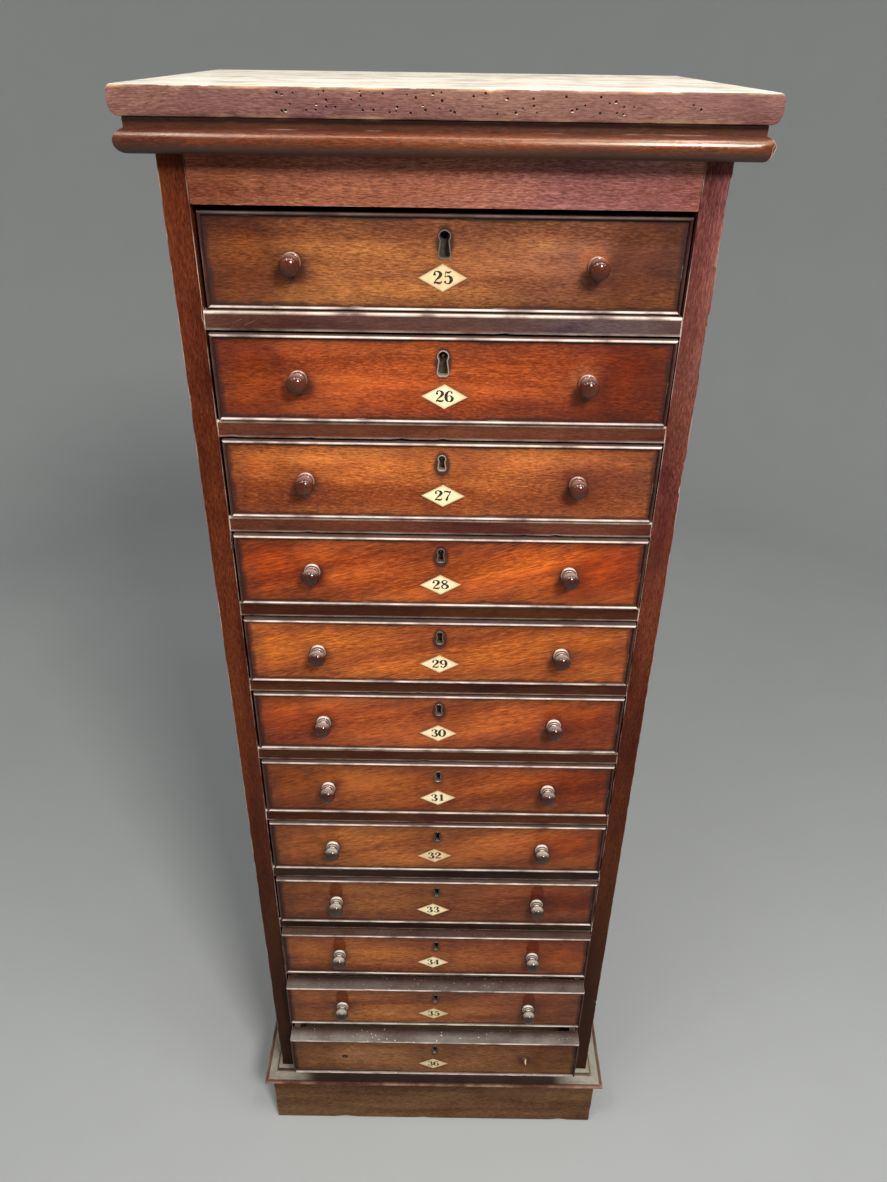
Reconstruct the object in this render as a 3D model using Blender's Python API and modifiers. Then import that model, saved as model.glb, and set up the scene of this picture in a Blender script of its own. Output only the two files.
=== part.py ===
"""A tall narrow filing chest with twelve numbered drawers, modelled as its separate pieces of wood."""
# The front of the carcass faces -Y, +X is on the right of someone who faces it, and it stands on z = 0.
# Lengths are in metres. A name that ends in _share or _shares is a fraction of the size that it follows.

import math

import bmesh
import bpy

# Gaps and overruns
touch_gap = 0.0003
cut_overrun = 0.0020
weld_distance = 0.00001

# Carcass
case_width = 0.4950
case_depth = 0.3680
side_thickness = 0.0243
front_stock = 0.0200
back_thickness = 0.0120
back_rebate_width = 0.0100
carcass_top_thickness = 0.0180
frieze_height = 0.0696
frieze_gap = 0.0058

# Rails and the dust boards behind them
rail_thickness = 0.0180
rail_depth = 0.0450
dust_board_thickness = 0.0110
housing_depth = 0.0060

# Plinth
plinth_board_height = 0.1030
plinth_board_thickness = 0.0141
plinth_moulding_height = 0.0251
plinth_moulding_reach = 0.0252
base_rail_show = 0.0377
base_rail_tuck = 0.0500

# Top board and the cornice under it
top_thickness = 0.0232
top_overhang = 0.0260
top_back_overhang = 0.0040
top_upper_round = 0.0050
top_lower_round = 0.0085
cornice_height = 0.0294
fillet_reach = 0.0180
fillet_height = 0.0085
torus_reach = 0.0261

# Drawers
first_number = 25
drawer_count = 12
front_height = 0.0855
front_head_gap = 0.0025
front_side_gap = 0.0022
front_lift = 0.0005
bead_width = 0.0032
bead_proud = 0.0026
bead_round = 0.0009
tray_side_relief = 0.0006
tray_head_drop = 0.0160
tray_side_thickness = 0.0095
tray_back_thickness = 0.0095
tray_back_drop = 0.0060
tray_bottom_lift = 0.0060
tray_bottom_thickness = 0.0050
tray_back_clearance = 0.0100
tray_lap = 0.0060
furthest_pull = 0.0345
side_drift_share = 0.35

# How far each drawer stands out of the front, from the top one down, as a share of furthest_pull
pull_shares = (-0.20, 0.04, 0.02, 0.07, 0.09, 0.00, 0.03, 0.02, 0.07, 0.26, 0.58, 1.00)

# Keyholes, as large as the outsides of their thin brass linings; the two top drawers have larger locks
large_key_radius = 0.0061
small_key_radius = 0.0049
key_slot_drop_share = 3.4
key_slot_foot_share = 1.0
key_slot_neck_share = 0.77
key_foot_round_share = 0.45
key_head_drop = 0.0129
large_lock_count = 2

# Turned knobs
knob_radius = 0.0098
knob_half_length = 0.0081
knob_neck_radius = 0.0046
knob_neck_height = 0.0080
knob_neck_foot = 0.0054
knob_ring_radius = 0.0070
knob_ring_height = 0.0044
knob_flange_radius = 0.0089
knob_flange_height = 0.0028
knob_shank_radius = 0.0045
knob_shank_length = 0.0170
knob_inset = 0.0815
knob_height_share = 0.500
stub_proud = 0.0020
stub_break = 0.0012
turned_steps = 12

# Sizes that follow from the ones above
opening_width = case_width - 2 * side_thickness
half_case = case_width / 2
half_opening = opening_width / 2
front_width = opening_width - 2 * front_side_gap
front_total_height = front_lift + front_height
drawer_pitch = touch_gap + front_total_height + front_head_gap + rail_thickness
bottom_shelf = plinth_board_height + touch_gap + plinth_moulding_height + base_rail_show
tongue_start = front_stock + touch_gap
inner_back = case_depth - back_thickness - touch_gap
case_top = bottom_shelf + (drawer_count - 1) * drawer_pitch + touch_gap + front_total_height
case_top += frieze_gap + frieze_height
tray_width = front_width - 2 * tray_side_relief
tray_height = front_height - tray_head_drop
tray_end = inner_back - tray_back_clearance
knob_shank_hole = knob_shank_radius + touch_gap
knob_height = front_lift + knob_height_share * front_height
knob_x = front_width / 2 - knob_inset
knob_ball_height = knob_neck_height + knob_half_length * math.cos(math.asin(knob_neck_radius / knob_radius))
knob_tip = touch_gap + knob_ball_height + knob_half_length
drawer_drift = side_drift_share * front_side_gap


def shelf_height(place):
    """Height of the surface that a drawer runs on; place 0 is the top drawer."""
    return bottom_shelf + (drawer_count - 1 - place) * drawer_pitch


def drawer_pull(place):
    """How far a drawer's front stands out of the plane of the rails."""
    return pull_shares[place] * furthest_pull


def front_reach():
    """Distance from the plane of the rails to the foremost point of the whole piece."""
    knobbed = [drawer_pull(place) + knob_tip for place in range(drawer_count - 1)]
    beads = [drawer_pull(place) + bead_proud for place in range(drawer_count)]
    return max(knobbed + beads + [top_overhang, plinth_moulding_reach + touch_gap])


def clear_scene():
    """Empty the scene."""
    for old in list(bpy.data.objects):
        bpy.data.objects.remove(old, do_unlink=True)


def make_collection(name):
    """A new collection in the scene."""
    collection = bpy.data.collections.new(name)
    bpy.context.scene.collection.children.link(collection)
    return collection


def make_material(name, colour, roughness):
    """A plain finish: colour and roughness on a Principled shader."""
    material = bpy.data.materials.new(name)
    material.use_nodes = True
    shader = material.node_tree.nodes["Principled BSDF"]
    shader.inputs["Base Color"].default_value = (*colour, 1)
    shader.inputs["Roughness"].default_value = roughness
    shader.inputs["Metallic"].default_value = 0
    return material


def add_piece(name, mesh, material, location=(0, 0, 0), parent=None):
    """Put a mesh in the model as a named piece with its own finish."""
    piece = bpy.data.objects.new(name, mesh)
    pieces.objects.link(piece)
    piece.parent = parent
    piece.location = location
    if material is not None:
        mesh.materials.clear()
        mesh.materials.append(material)
    return piece


def add_cutter(name, mesh, location=(0, 0, 0), parent=None):
    """Put a mesh in the cutters' collection, seen as wires and never rendered."""
    cutter = bpy.data.objects.new(name, mesh)
    cutters.objects.link(cutter)
    cutter.parent = parent
    cutter.location = location
    cutter.display_type = "WIRE"
    cutter.hide_render = True
    return cutter


def add_boolean(piece, other, operation):
    """Cut another shape out of the piece, or join it on."""
    modifier = piece.modifiers.new(other.name, "BOOLEAN")
    modifier.object = other
    modifier.operation = operation
    modifier.solver = "EXACT"


def box_mesh(name, boxes):
    """Mesh of one or more boxes that don't touch, each given by its lowest and highest corners."""
    shape = bmesh.new()
    for low, high in boxes:
        corners = bmesh.ops.create_cube(shape, size=1)["verts"]
        for vertex in corners:
            for axis in range(3):
                vertex.co[axis] = low[axis] + (vertex.co[axis] + 0.5) * (high[axis] - low[axis])
    mesh = bpy.data.meshes.new(name)
    shape.to_mesh(mesh)
    shape.free()
    return mesh


def outline_mesh(name, points, thickness):
    """Mesh of a closed outline in the XY plane, thickened alike above and below that plane."""
    curve = bpy.data.curves.new(name, "CURVE")
    curve.dimensions = "2D"
    curve.fill_mode = "BOTH"
    curve.extrude = thickness / 2
    spline = curve.splines.new("POLY")
    spline.points.add(len(points) - 1)
    for point, (x, y) in zip(spline.points, points):
        point.co = (x, y, 0, 1)
    spline.use_cyclic_u = True
    guide = add_cutter(name, curve)
    mesh = evaluated_mesh(guide)
    bpy.data.objects.remove(guide)
    shape = bmesh.new()
    shape.from_mesh(mesh)
    bmesh.ops.remove_doubles(shape, verts=shape.verts, dist=weld_distance)
    bmesh.ops.recalc_face_normals(shape, faces=shape.faces)
    shape.to_mesh(mesh)
    shape.free()
    return mesh


def evaluated_mesh(shape):
    """The shape's mesh with its modifiers carried out."""
    depsgraph = bpy.context.evaluated_depsgraph_get()
    depsgraph.update()
    return bpy.data.meshes.new_from_object(shape.evaluated_get(depsgraph))


def arc(centre, radius, start, end, steps):
    """Points along an arc, with its angles in degrees."""
    angles = [math.radians(start + (end - start) * step / steps) for step in range(steps + 1)]
    return [(centre[0] + radius * math.cos(a), centre[1] + radius * math.sin(a)) for a in angles]


def smooth_shade(mesh):
    """Shade curved faces smooth and keep the edges that are sharp."""
    mesh.shade_smooth()
    mesh.set_sharp_from_angle(angle=math.radians(35))


def build_side(name, sign, case):
    """A side board with a stopped housing for each dust board and a rebate for the back panel."""
    inner = half_opening + touch_gap
    low = (min(sign * inner, sign * half_case), 0, 0)
    high = (max(sign * inner, sign * half_case), case_depth, case_top)
    side = add_piece(name, box_mesh(name, [(low, high)]), side_wood, parent=case)

    def groove(depth, start, end, foot, head):
        across = sorted((sign * (half_opening - cut_overrun), sign * (half_opening + depth)))
        return ((across[0], start, foot), (across[1], end, head))

    housings = []
    for place in range(drawer_count):
        shelf = shelf_height(place)
        foot = shelf - dust_board_thickness - touch_gap
        end = inner_back + cut_overrun
        housings.append(groove(housing_depth + touch_gap, front_stock, end, foot, shelf + touch_gap))
    housing_cutter = add_cutter(name + "_housings", box_mesh(name + "_housings", housings), parent=case)
    rebate = groove(back_rebate_width + touch_gap, inner_back, case_depth + cut_overrun, -cut_overrun,
                    case_top + cut_overrun)
    rebate_cutter = add_cutter(name + "_rebate", box_mesh(name + "_rebate", [rebate]), parent=case)
    add_boolean(side, housing_cutter, "DIFFERENCE")
    add_boolean(side, rebate_cutter, "DIFFERENCE")


def build_back(case):
    """The back panel, let into the rebates of the sides."""
    reach = half_opening + back_rebate_width
    foot = bottom_shelf - dust_board_thickness
    low = (-reach, inner_back + touch_gap, foot)
    high = (reach, case_depth, case_top)
    add_piece("back_panel", box_mesh("back_panel", [(low, high)]), plain_wood, parent=case)


def build_front_rails(case):
    """The frieze rail over the top drawer and the base rail under the lowest one."""
    frieze_foot = case_top - frieze_height
    base_foot = bottom_shelf - base_rail_show - plinth_moulding_height - base_rail_tuck
    for name, foot, head in (("frieze_rail", frieze_foot, case_top), ("base_rail", base_foot, bottom_shelf)):
        box = ((-half_opening, 0, foot), (half_opening, front_stock, head))
        add_piece(name, box_mesh(name, [box]), rail_wood, parent=case)


def build_inner_boards(case):
    """The board under the top and the board that the lowest drawer runs on."""
    low = (-half_opening, tongue_start, case_top - carcass_top_thickness)
    high = (half_opening, inner_back, case_top)
    add_piece("carcass_top", box_mesh("carcass_top", [(low, high)]), plain_wood, parent=case)
    reach = half_opening + housing_depth
    low = (-reach, tongue_start, bottom_shelf - dust_board_thickness)
    high = (reach, inner_back, bottom_shelf)
    add_piece("bottom_board", box_mesh("bottom_board", [(low, high)]), plain_wood, parent=case)


def build_dividers(case):
    """Between each two drawers, a rail with a thinner dust board joined on behind and housed in the sides."""
    rail = ((-half_opening, 0, -rail_thickness), (half_opening, rail_depth, 0))
    reach = half_opening + housing_depth
    board = ((-reach, tongue_start, -dust_board_thickness), (reach, inner_back, 0))
    pattern = add_piece("divider_pattern", box_mesh("divider", [rail]), rail_wood)
    board_shape = add_cutter("dust_board", box_mesh("dust_board", [board]))
    add_boolean(pattern, board_shape, "UNION")
    mesh = evaluated_mesh(pattern)
    bpy.data.objects.remove(pattern)
    for place in range(drawer_count - 1):
        number = first_number + place
        name = f"divider_{number}_{number + 1}"
        add_piece(name, mesh, rail_wood, location=(0, 0, shelf_height(place)), parent=case)


def build_plinth(case):
    """Three skirting boards, mitred at the two front corners."""
    inner = half_case + touch_gap
    outer = inner + plinth_board_thickness
    inner_front = -touch_gap
    outer_front = inner_front - plinth_board_thickness
    mitre = touch_gap * math.sqrt(2)
    centre = (0, 0, plinth_board_height / 2)
    front = [(-outer, outer_front), (outer, outer_front), (inner, inner_front), (-inner, inner_front)]
    mesh = outline_mesh("plinth_front", front, plinth_board_height)
    add_piece("plinth_front", mesh, plinth_wood, location=centre, parent=case)
    for name, sign in (("plinth_left", -1), ("plinth_right", 1)):
        side = [(sign * inner, inner_front + mitre), (sign * outer, outer_front + mitre),
                (sign * outer, case_depth), (sign * inner, case_depth)]
        mesh = outline_mesh(name, side, plinth_board_height)
        add_piece(name, mesh, plinth_wood, location=centre, parent=case)


def build_moulding(name, profile, foot, case):
    """Run a moulding along the right side, round the mitred corner to the middle, and mirror it.

    The profile's points are (reach from the carcass, height), and its ends lie against the carcass.
    """
    shape = bmesh.new()
    start = half_case + touch_gap
    section = [shape.verts.new((start + reach, case_depth, height)) for reach, height in profile]
    shape.faces.new(section)
    edges = list(shape.edges)
    for station in ("corner", "middle"):
        grown = bmesh.ops.extrude_edge_only(shape, edges=edges)["geom"]
        vertices = {item for item in grown if isinstance(item, bmesh.types.BMVert)}
        edges = [edge for edge in shape.edges if vertices.issuperset(edge.verts)]
        for vertex in vertices:
            if station == "corner":
                vertex.co.y = half_case - vertex.co.x
            else:
                vertex.co.x = 0
    bmesh.ops.recalc_face_normals(shape, faces=shape.faces)
    mesh = bpy.data.meshes.new(name)
    shape.to_mesh(mesh)
    shape.free()
    moulding = add_piece(name, mesh, moulding_wood, location=(0, 0, foot), parent=case)
    mirror = moulding.modifiers.new("other_half", "MIRROR")
    mirror.use_axis = (True, False, False)
    mirror.merge_threshold = weld_distance


def plinth_profile():
    """Section of the plinth moulding: a small step at the carcass, a wide hollow top and a rounded nose."""
    reach = plinth_moulding_reach
    height = plinth_moulding_height
    shares = ((0, 0), (0.56, 0), (0.68, 0.06), (0.80, 0.20), (0.90, 0.38), (1.0, 0.46), (1.0, 0.62),
              (0.70, 0.62), (0.45, 0.67), (0.24, 0.78), (0.22, 0.92), (0, 1.0))
    return [(reach * across, height * up) for across, up in shares]


def cornice_profile():
    """Section of the cornice: an upright fillet under the top, over a full round nose and a flat hollow."""
    round_height = cornice_height - fillet_height
    shares = ((0, 0), (0.62, 0.13), (0.85, 0.25), (0.96, 0.40), (1.0, 0.58), (0.97, 0.76), (0.86, 0.91))
    nose = [(torus_reach * across, round_height * up) for across, up in shares]
    return nose + [(fillet_reach, round_height), (fillet_reach, cornice_height), (0, cornice_height)]


def build_top(case):
    """The thick top board; its ends are rounded more below than above."""
    half = half_case + top_overhang
    foot = case_top + touch_gap
    half_thickness = top_thickness / 2
    upper = arc((half - top_upper_round, half_thickness - top_upper_round), top_upper_round, 0, 90, 4)
    lower = arc((half - top_lower_round, top_lower_round - half_thickness), top_lower_round, -90, 0, 4)
    right = lower + upper
    left = [(-x, y) for x, y in reversed(right)]
    depth = top_overhang + case_depth + top_back_overhang
    mesh = outline_mesh("top_board", right + left, depth)
    top = add_piece("top_board", mesh, top_wood, parent=case)
    top.location = (0, depth / 2 - top_overhang, foot + half_thickness)
    top.rotation_euler = (math.pi / 2, 0, 0)


def front_mesh():
    """A drawer front: a board whose face is sunk inside a rounded cock bead."""
    half = front_width / 2
    low = (-half, -(bead_proud - bead_round), front_lift)
    high = (half, front_stock, front_total_height)
    mesh = box_mesh("drawer_front", [(low, high)])
    shape = bmesh.new()
    shape.from_mesh(mesh)
    shape.normal_update()
    face = [f for f in shape.faces if f.normal.y < -0.9][0]
    sink = bead_proud - bead_round
    inset_depths = ((bead_round, bead_round), (bead_width - 2 * bead_round, 0), (bead_round, -bead_round),
                    (touch_gap, -sink))
    for width, depth in inset_depths:
        bmesh.ops.inset_region(shape, faces=[face], thickness=width, depth=depth, use_even_offset=True)
    shape.to_mesh(mesh)
    shape.free()
    return mesh


def tray_cuts(name):
    """What is cut from a solid tray: its hollow, the space under its bottom, and the top of its back."""
    half = tray_width / 2 - tray_side_thickness
    start = front_stock - tray_lap / 2
    back_face = tray_end - tray_back_thickness
    floor = tray_bottom_lift + tray_bottom_thickness
    back_top = tray_height - tray_back_drop
    above = tray_height + cut_overrun
    hollow = ((-half, start, floor), (half, back_face, above))
    under = ((-half, start, -cut_overrun), (half, tray_end + cut_overrun, tray_bottom_lift))
    notch = ((-half, back_face - cut_overrun, back_top), (half, tray_end + cut_overrun, above))
    boxes = {"hollow": hollow, "underside": under, "low_back": notch}
    return [add_cutter(f"{name}_{part}", box_mesh(part, [box])) for part, box in boxes.items()]


def keyhole_cutter(name, radius):
    """A round hole with a flared slot under it, right through a drawer front."""
    corner = key_foot_round_share * radius
    side = key_slot_foot_share * radius - corner
    foot = corner - key_slot_drop_share * radius
    neck_angle = math.degrees(math.asin(key_slot_neck_share))
    points = arc((0, 0), radius, neck_angle - 90, 270 - neck_angle, 10)
    points += arc((-side, foot), corner, 180, 270, 3)
    points += arc((side, foot), corner, -90, 0, 3)
    mesh = outline_mesh(name, points, bead_proud + front_stock + 2 * cut_overrun)
    centre = front_total_height - key_head_drop - radius
    cutter = add_cutter(name, mesh, location=(0, front_stock / 2, centre))
    cutter.rotation_euler = (math.pi / 2, 0, 0)
    return cutter


def shank_hole_mesh(name, places):
    """Cylinders right through a drawer front, where the knobs' shanks go."""
    shape = bmesh.new()
    for x in places:
        length = bead_proud + front_stock + 2 * cut_overrun
        made = bmesh.ops.create_cone(shape, cap_ends=True, segments=turned_steps, radius1=knob_shank_hole,
                                     radius2=knob_shank_hole, depth=length)
        for vertex in made["verts"]:
            across, along, up = vertex.co
            vertex.co = (x + across, front_stock / 2 + up, knob_height - along)
    mesh = bpy.data.meshes.new(name)
    bmesh.ops.recalc_face_normals(shape, faces=shape.faces)
    shape.to_mesh(mesh)
    shape.free()
    return mesh


def drawer_mesh(name, key_radius):
    """A whole drawer box: tray, front, keyhole and the two holes for the knobs."""
    half = tray_width / 2
    tray = ((-half, front_stock - tray_lap, 0), (half, tray_end, tray_height))
    pattern = add_piece(name + "_pattern", box_mesh(name, [tray]), drawer_wood)
    for cutter in tray_cuts(name):
        add_boolean(pattern, cutter, "DIFFERENCE")
    add_boolean(pattern, add_cutter(name + "_front", front_mesh()), "UNION")
    add_boolean(pattern, keyhole_cutter(name + "_keyhole", key_radius), "DIFFERENCE")
    holes = shank_hole_mesh(name + "_shank_holes", (-knob_x, knob_x))
    add_boolean(pattern, add_cutter(name + "_shank_holes", holes), "DIFFERENCE")
    mesh = evaluated_mesh(pattern)
    bpy.data.objects.remove(pattern)
    return mesh


def turned_mesh(name, profile):
    """Turn a profile of (radius, height) points, listed from the top down, about the Z axis."""
    mesh = bpy.data.meshes.new(name)
    shape = bmesh.new()
    points = [shape.verts.new((radius, 0, height)) for radius, height in profile]
    for upper, lower in zip(points, points[1:]):
        shape.edges.new((upper, lower))
    shape.to_mesh(mesh)
    shape.free()
    pattern = add_piece(name + "_pattern", mesh, None)
    screw = pattern.modifiers.new("turning", "SCREW")
    screw.axis = "Z"
    screw.angle = 2 * math.pi
    screw.steps = turned_steps
    screw.render_steps = turned_steps
    screw.use_merge_vertices = True
    screw.merge_threshold = weld_distance
    turned = evaluated_mesh(pattern)
    bpy.data.objects.remove(pattern)
    smooth_shade(turned)
    return turned


def knob_profile():
    """A flattened ball on a narrow neck, a ring and a flange that seats on the drawer front, and a shank."""
    lowest = 180 - math.degrees(math.asin(knob_neck_radius / knob_radius))
    steps = 5
    ball = []
    for step in range(steps + 1):
        angle = math.radians(lowest * step / steps)
        radius = knob_radius * math.sin(angle)
        ball.append((radius, knob_ball_height + knob_half_length * math.cos(angle)))
    ring = [(knob_neck_radius, knob_neck_foot), (knob_ring_radius, knob_ring_height),
            (knob_flange_radius, knob_flange_height)]
    shank = [(knob_shank_radius, 0), (knob_shank_radius, -knob_shank_length), (0, -knob_shank_length)]
    return ball + ring + [(knob_flange_radius, 0)] + shank


def stub_profile():
    """What is left of a broken knob: its shank, ending in a low uneven cone."""
    return [(0, stub_proud + stub_break), (knob_shank_radius, stub_proud),
            (knob_shank_radius, -knob_shank_length), (0, -knob_shank_length)]


def add_turned(name, mesh, x, drawer):
    """Seat a turned piece in a drawer front, its axis pointing out of the front."""
    knob = add_piece(name, mesh, knob_wood, location=(x, -touch_gap, knob_height), parent=drawer)
    knob.rotation_euler = (math.pi / 2, 0, 0)


def build_drawers(case):
    """The twelve drawers at the places where they stand, each with its knobs."""
    large_lock = drawer_mesh("drawer_large_lock", large_key_radius)
    small_lock = drawer_mesh("drawer_small_lock", small_key_radius)
    knob = turned_mesh("knob", knob_profile())
    stub = turned_mesh("knob_stub", stub_profile())
    for place in range(drawer_count):
        number = first_number + place
        mesh = large_lock if place < large_lock_count else small_lock
        spot = (drawer_drift, -drawer_pull(place), shelf_height(place) + touch_gap)
        drawer = add_piece(f"drawer_{number}", mesh, drawer_wood, location=spot, parent=case)
        if place < drawer_count - 1:
            add_turned(f"knob_{number}_left", knob, -knob_x, drawer)
            add_turned(f"knob_{number}_right", knob, knob_x, drawer)
        else:
            add_turned(f"knob_stub_{number}", stub, knob_x, drawer)


clear_scene()
pieces = make_collection("filing_chest")
cutters = make_collection("cutters")

side_wood = make_material("side_mahogany", (0.115, 0.028, 0.016), 0.45)
rail_wood = make_material("rail_mahogany", (0.105, 0.030, 0.020), 0.42)
drawer_wood = make_material("drawer_mahogany", (0.190, 0.050, 0.018), 0.38)
knob_wood = make_material("knob_mahogany", (0.085, 0.020, 0.012), 0.25)
top_wood = make_material("top_mahogany", (0.200, 0.090, 0.070), 0.55)
moulding_wood = make_material("moulding_mahogany", (0.120, 0.035, 0.022), 0.40)
plinth_wood = make_material("plinth_mahogany", (0.110, 0.055, 0.032), 0.55)
plain_wood = make_material("carcass_pine", (0.360, 0.220, 0.110), 0.70)

front_plane = (front_reach() - case_depth - top_back_overhang) / 2
carcass = bpy.data.objects.new("carcass", None)
pieces.objects.link(carcass)
carcass.location = (0, front_plane, 0)

build_side("side_left", -1, carcass)
build_side("side_right", 1, carcass)
build_back(carcass)
build_front_rails(carcass)
build_inner_boards(carcass)
build_dividers(carcass)
build_plinth(carcass)
build_moulding("plinth_moulding", plinth_profile(), plinth_board_height + touch_gap, carcass)
build_moulding("cornice_moulding", cornice_profile(), case_top - cornice_height, carcass)
build_top(carcass)
build_drawers(carcass)
print(f"front plane {front_plane:.4f}, total height {case_top + touch_gap + top_thickness:.4f}")
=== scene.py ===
# %% [markdown]
# # A filing chest of twelve numbered drawers
# The real object is a tall, narrow mahogany chest. Its twelve shallow drawers each have a cock bead, a keyhole with
# a brass lining, a paper diamond with a number, and two turned knobs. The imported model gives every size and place.
# This script dresses that model: it makes the detailed pieces that replace the plain solids, and all the finishes.

# %% Load the model that everything is fitted to
import math
import random

import bmesh
import bpy
from mathutils import Matrix, Vector, noise


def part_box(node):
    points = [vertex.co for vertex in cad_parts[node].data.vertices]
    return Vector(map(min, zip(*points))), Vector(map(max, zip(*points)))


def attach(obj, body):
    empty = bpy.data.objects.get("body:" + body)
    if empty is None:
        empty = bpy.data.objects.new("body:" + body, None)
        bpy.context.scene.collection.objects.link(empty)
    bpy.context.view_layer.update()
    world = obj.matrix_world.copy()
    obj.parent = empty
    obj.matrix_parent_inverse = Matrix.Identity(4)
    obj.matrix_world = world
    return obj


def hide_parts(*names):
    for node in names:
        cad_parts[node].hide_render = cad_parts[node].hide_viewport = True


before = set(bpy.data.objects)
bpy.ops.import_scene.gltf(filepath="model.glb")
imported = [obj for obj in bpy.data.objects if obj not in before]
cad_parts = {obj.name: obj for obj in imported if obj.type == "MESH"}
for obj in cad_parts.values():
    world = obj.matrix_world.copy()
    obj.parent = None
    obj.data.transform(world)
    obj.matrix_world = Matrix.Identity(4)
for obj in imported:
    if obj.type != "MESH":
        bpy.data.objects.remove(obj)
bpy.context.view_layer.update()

# %% [markdown]
# The camera stands where the photographer stood: close in front of the chest, at eye height, looking down. A wide
# lens this close makes the chest taper towards the floor. Blender's camera looks along its own -Z, so it is turned
# about X by a right angle less the pitch, then about the upright axis, and last rolled about its line of sight.

# %% Place the camera
image_height = 1182
focal_pixels = 900
sensor_width = 36
camera_place = Vector((0.0054, -1.0131, 1.5588))
camera_yaw = math.radians(0.077)
camera_pitch = math.radians(31.477)
camera_roll = math.radians(0.819)

camera_data = bpy.data.cameras.new("camera")
camera_data.sensor_width = sensor_width
camera_data.lens = focal_pixels / image_height * sensor_width


def add_object(name, data):
    """A new object in the scene."""
    made = bpy.data.objects.new(name, data)
    bpy.context.scene.collection.objects.link(made)
    return made


camera = add_object("camera", camera_data)
turn = Matrix.Rotation(camera_yaw, 4, "Z") @ Matrix.Rotation(math.pi / 2 - camera_pitch, 4, "X")
camera.matrix_world = Matrix.Translation(camera_place) @ turn @ Matrix.Rotation(camera_roll, 4, "Z")
bpy.context.scene.camera = camera
print("lens", round(camera_data.lens, 2), "mm")

# %% [markdown]
# A round room of plain pale paper: the floor runs up into the wall in one soft curve, so no line crosses the
# picture from any side. Its section is spun about the upright axis. Its outside is clear, so that a camera behind
# the wall still sees the chest.

# %% Floor and wall
room_radius = 3.4
room_curve = 1.1
room_top = 4.2
room_steps = 20
room_sides = 96
first_ring = 0.6


def room_profile():
    """Points (distance from the middle, height) of the floor, the curve and the wall."""
    points = [(first_ring, 0)]
    for step in range(room_steps + 1):
        angle = math.pi / 2 * step / room_steps
        points.append((room_radius - room_curve + room_curve * math.sin(angle), room_curve * (1 - math.cos(angle))))
    return points + [(room_radius, room_top)]


def mesh_object(name, vertices, faces, smooth=True):
    """An object with a new mesh made from points and faces."""
    mesh = bpy.data.meshes.new(name)
    mesh.from_pydata([tuple(v) for v in vertices], [], faces)
    shape = bmesh.new()
    shape.from_mesh(mesh)
    bmesh.ops.recalc_face_normals(shape, faces=shape.faces)
    shape.to_mesh(mesh)
    shape.free()
    if smooth:
        mesh.shade_smooth()
        mesh.set_sharp_from_angle(angle=math.radians(38))
    return add_object(name, mesh)


def circle(radius, sides, start=0.0):
    """Points (across, up) evenly round a circle."""
    angles = [start + 2 * math.pi * k / sides for k in range(sides)]
    return [(radius * math.cos(angle), radius * math.sin(angle)) for angle in angles]


room_points, room_faces = [(0, 0, 0)], []
for distance, height in room_profile():
    first = len(room_points)
    room_points += [(x, y, height) for x, y in circle(distance, room_sides)]
    for k in range(room_sides):
        after = (k + 1) % room_sides
        if first == 1:
            room_faces.append((0, first + k, first + after))
        else:
            room_faces.append((first - room_sides + k, first + k, first + after, first - room_sides + after))
room = mesh_object("room", room_points, room_faces)
if room.data.polygons[0].normal.z < 0:
    room.data.flip_normals()
print("room faces", len(room_faces))

# %% [markdown]
# Materials are drawn with nodes, and short helpers keep that readable. They fill sockets, add nodes, do arithmetic,
# and make node groups with named sockets that all materials share. A node joins the tree of whatever feeds it.

# %% Node helpers
def feed(sockets, values):
    """Fill input sockets, by name or number, with values or with other nodes' outputs."""
    for key, value in values.items():
        if isinstance(value, bpy.types.NodeSocket):
            value.id_data.links.new(value, sockets[key])
        else:
            sockets[key].default_value = value


def add_node(kind, feeds=None, tree=None, **settings):
    """Add a node and give its outputs. The tree is named only where no other node's output feeds it."""
    feeds = feeds or {}
    if tree is None:
        tree = next(value.id_data for value in feeds.values() if isinstance(value, bpy.types.NodeSocket))
    made = tree.nodes.new("ShaderNode" + kind)
    for key, value in settings.items():
        setattr(made, key, value)
    feed(made.inputs, feeds)
    return made.outputs


def calc(operation, *values, clamp=False):
    """One arithmetic step."""
    return add_node("Math", dict(enumerate(values)), operation=operation, use_clamp=clamp)[0]


def joined_by(operation):
    """A function that joins two or more values from the left with one kind of arithmetic."""
    def join(*values, clamp=False):
        result = values[0]
        for value in values[1:]:
            result = calc(operation, result, value, clamp=clamp)
        return result
    return join


times, plus, minus, most, least = map(joined_by, ("MULTIPLY", "ADD", "SUBTRACT", "MAXIMUM", "MINIMUM"))


def vector_calc(operation, first, second):
    """One step of arithmetic on vectors; gives the node's outputs."""
    return add_node("VectorMath", {0: first, 1: second}, operation=operation)


def blend_colours(factor, first, second, mode="MIX"):
    """Mix two colours."""
    return add_node("Mix", {0: factor, 6: first, 7: second}, data_type="RGBA", blend_type=mode)[2]


def blend_values(factor, first, second):
    """Mix two numbers."""
    return add_node("Mix", {0: factor, 2: first, 3: second}, data_type="FLOAT")[0]


def ease(value, low, high, out_low=0.0, out_high=1.0):
    """A soft step: the value's range from low to high becomes out_low to out_high."""
    feeds = {0: value, 1: low, 2: high, 3: out_low, 4: out_high}
    return add_node("MapRange", feeds, interpolation_type="SMOOTHSTEP")[0]


def even_noise(vector, scale, detail=2.0):
    """Noise whose features are as long one way as another."""
    return add_node("TexNoise", {"Vector": vector, "Scale": scale, "Detail": detail})[0]


def stretched_noise(vector, scale, detail=3.0, roughness=0.5):
    """Noise whose features are 1 / scale long on each axis."""
    mapped = add_node("Mapping", {"Vector": vector, "Scale": scale}, vector_type="POINT")[0]
    return add_node("TexNoise", {"Vector": mapped, "Scale": 1.0, "Detail": detail, "Roughness": roughness})[0]


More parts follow.
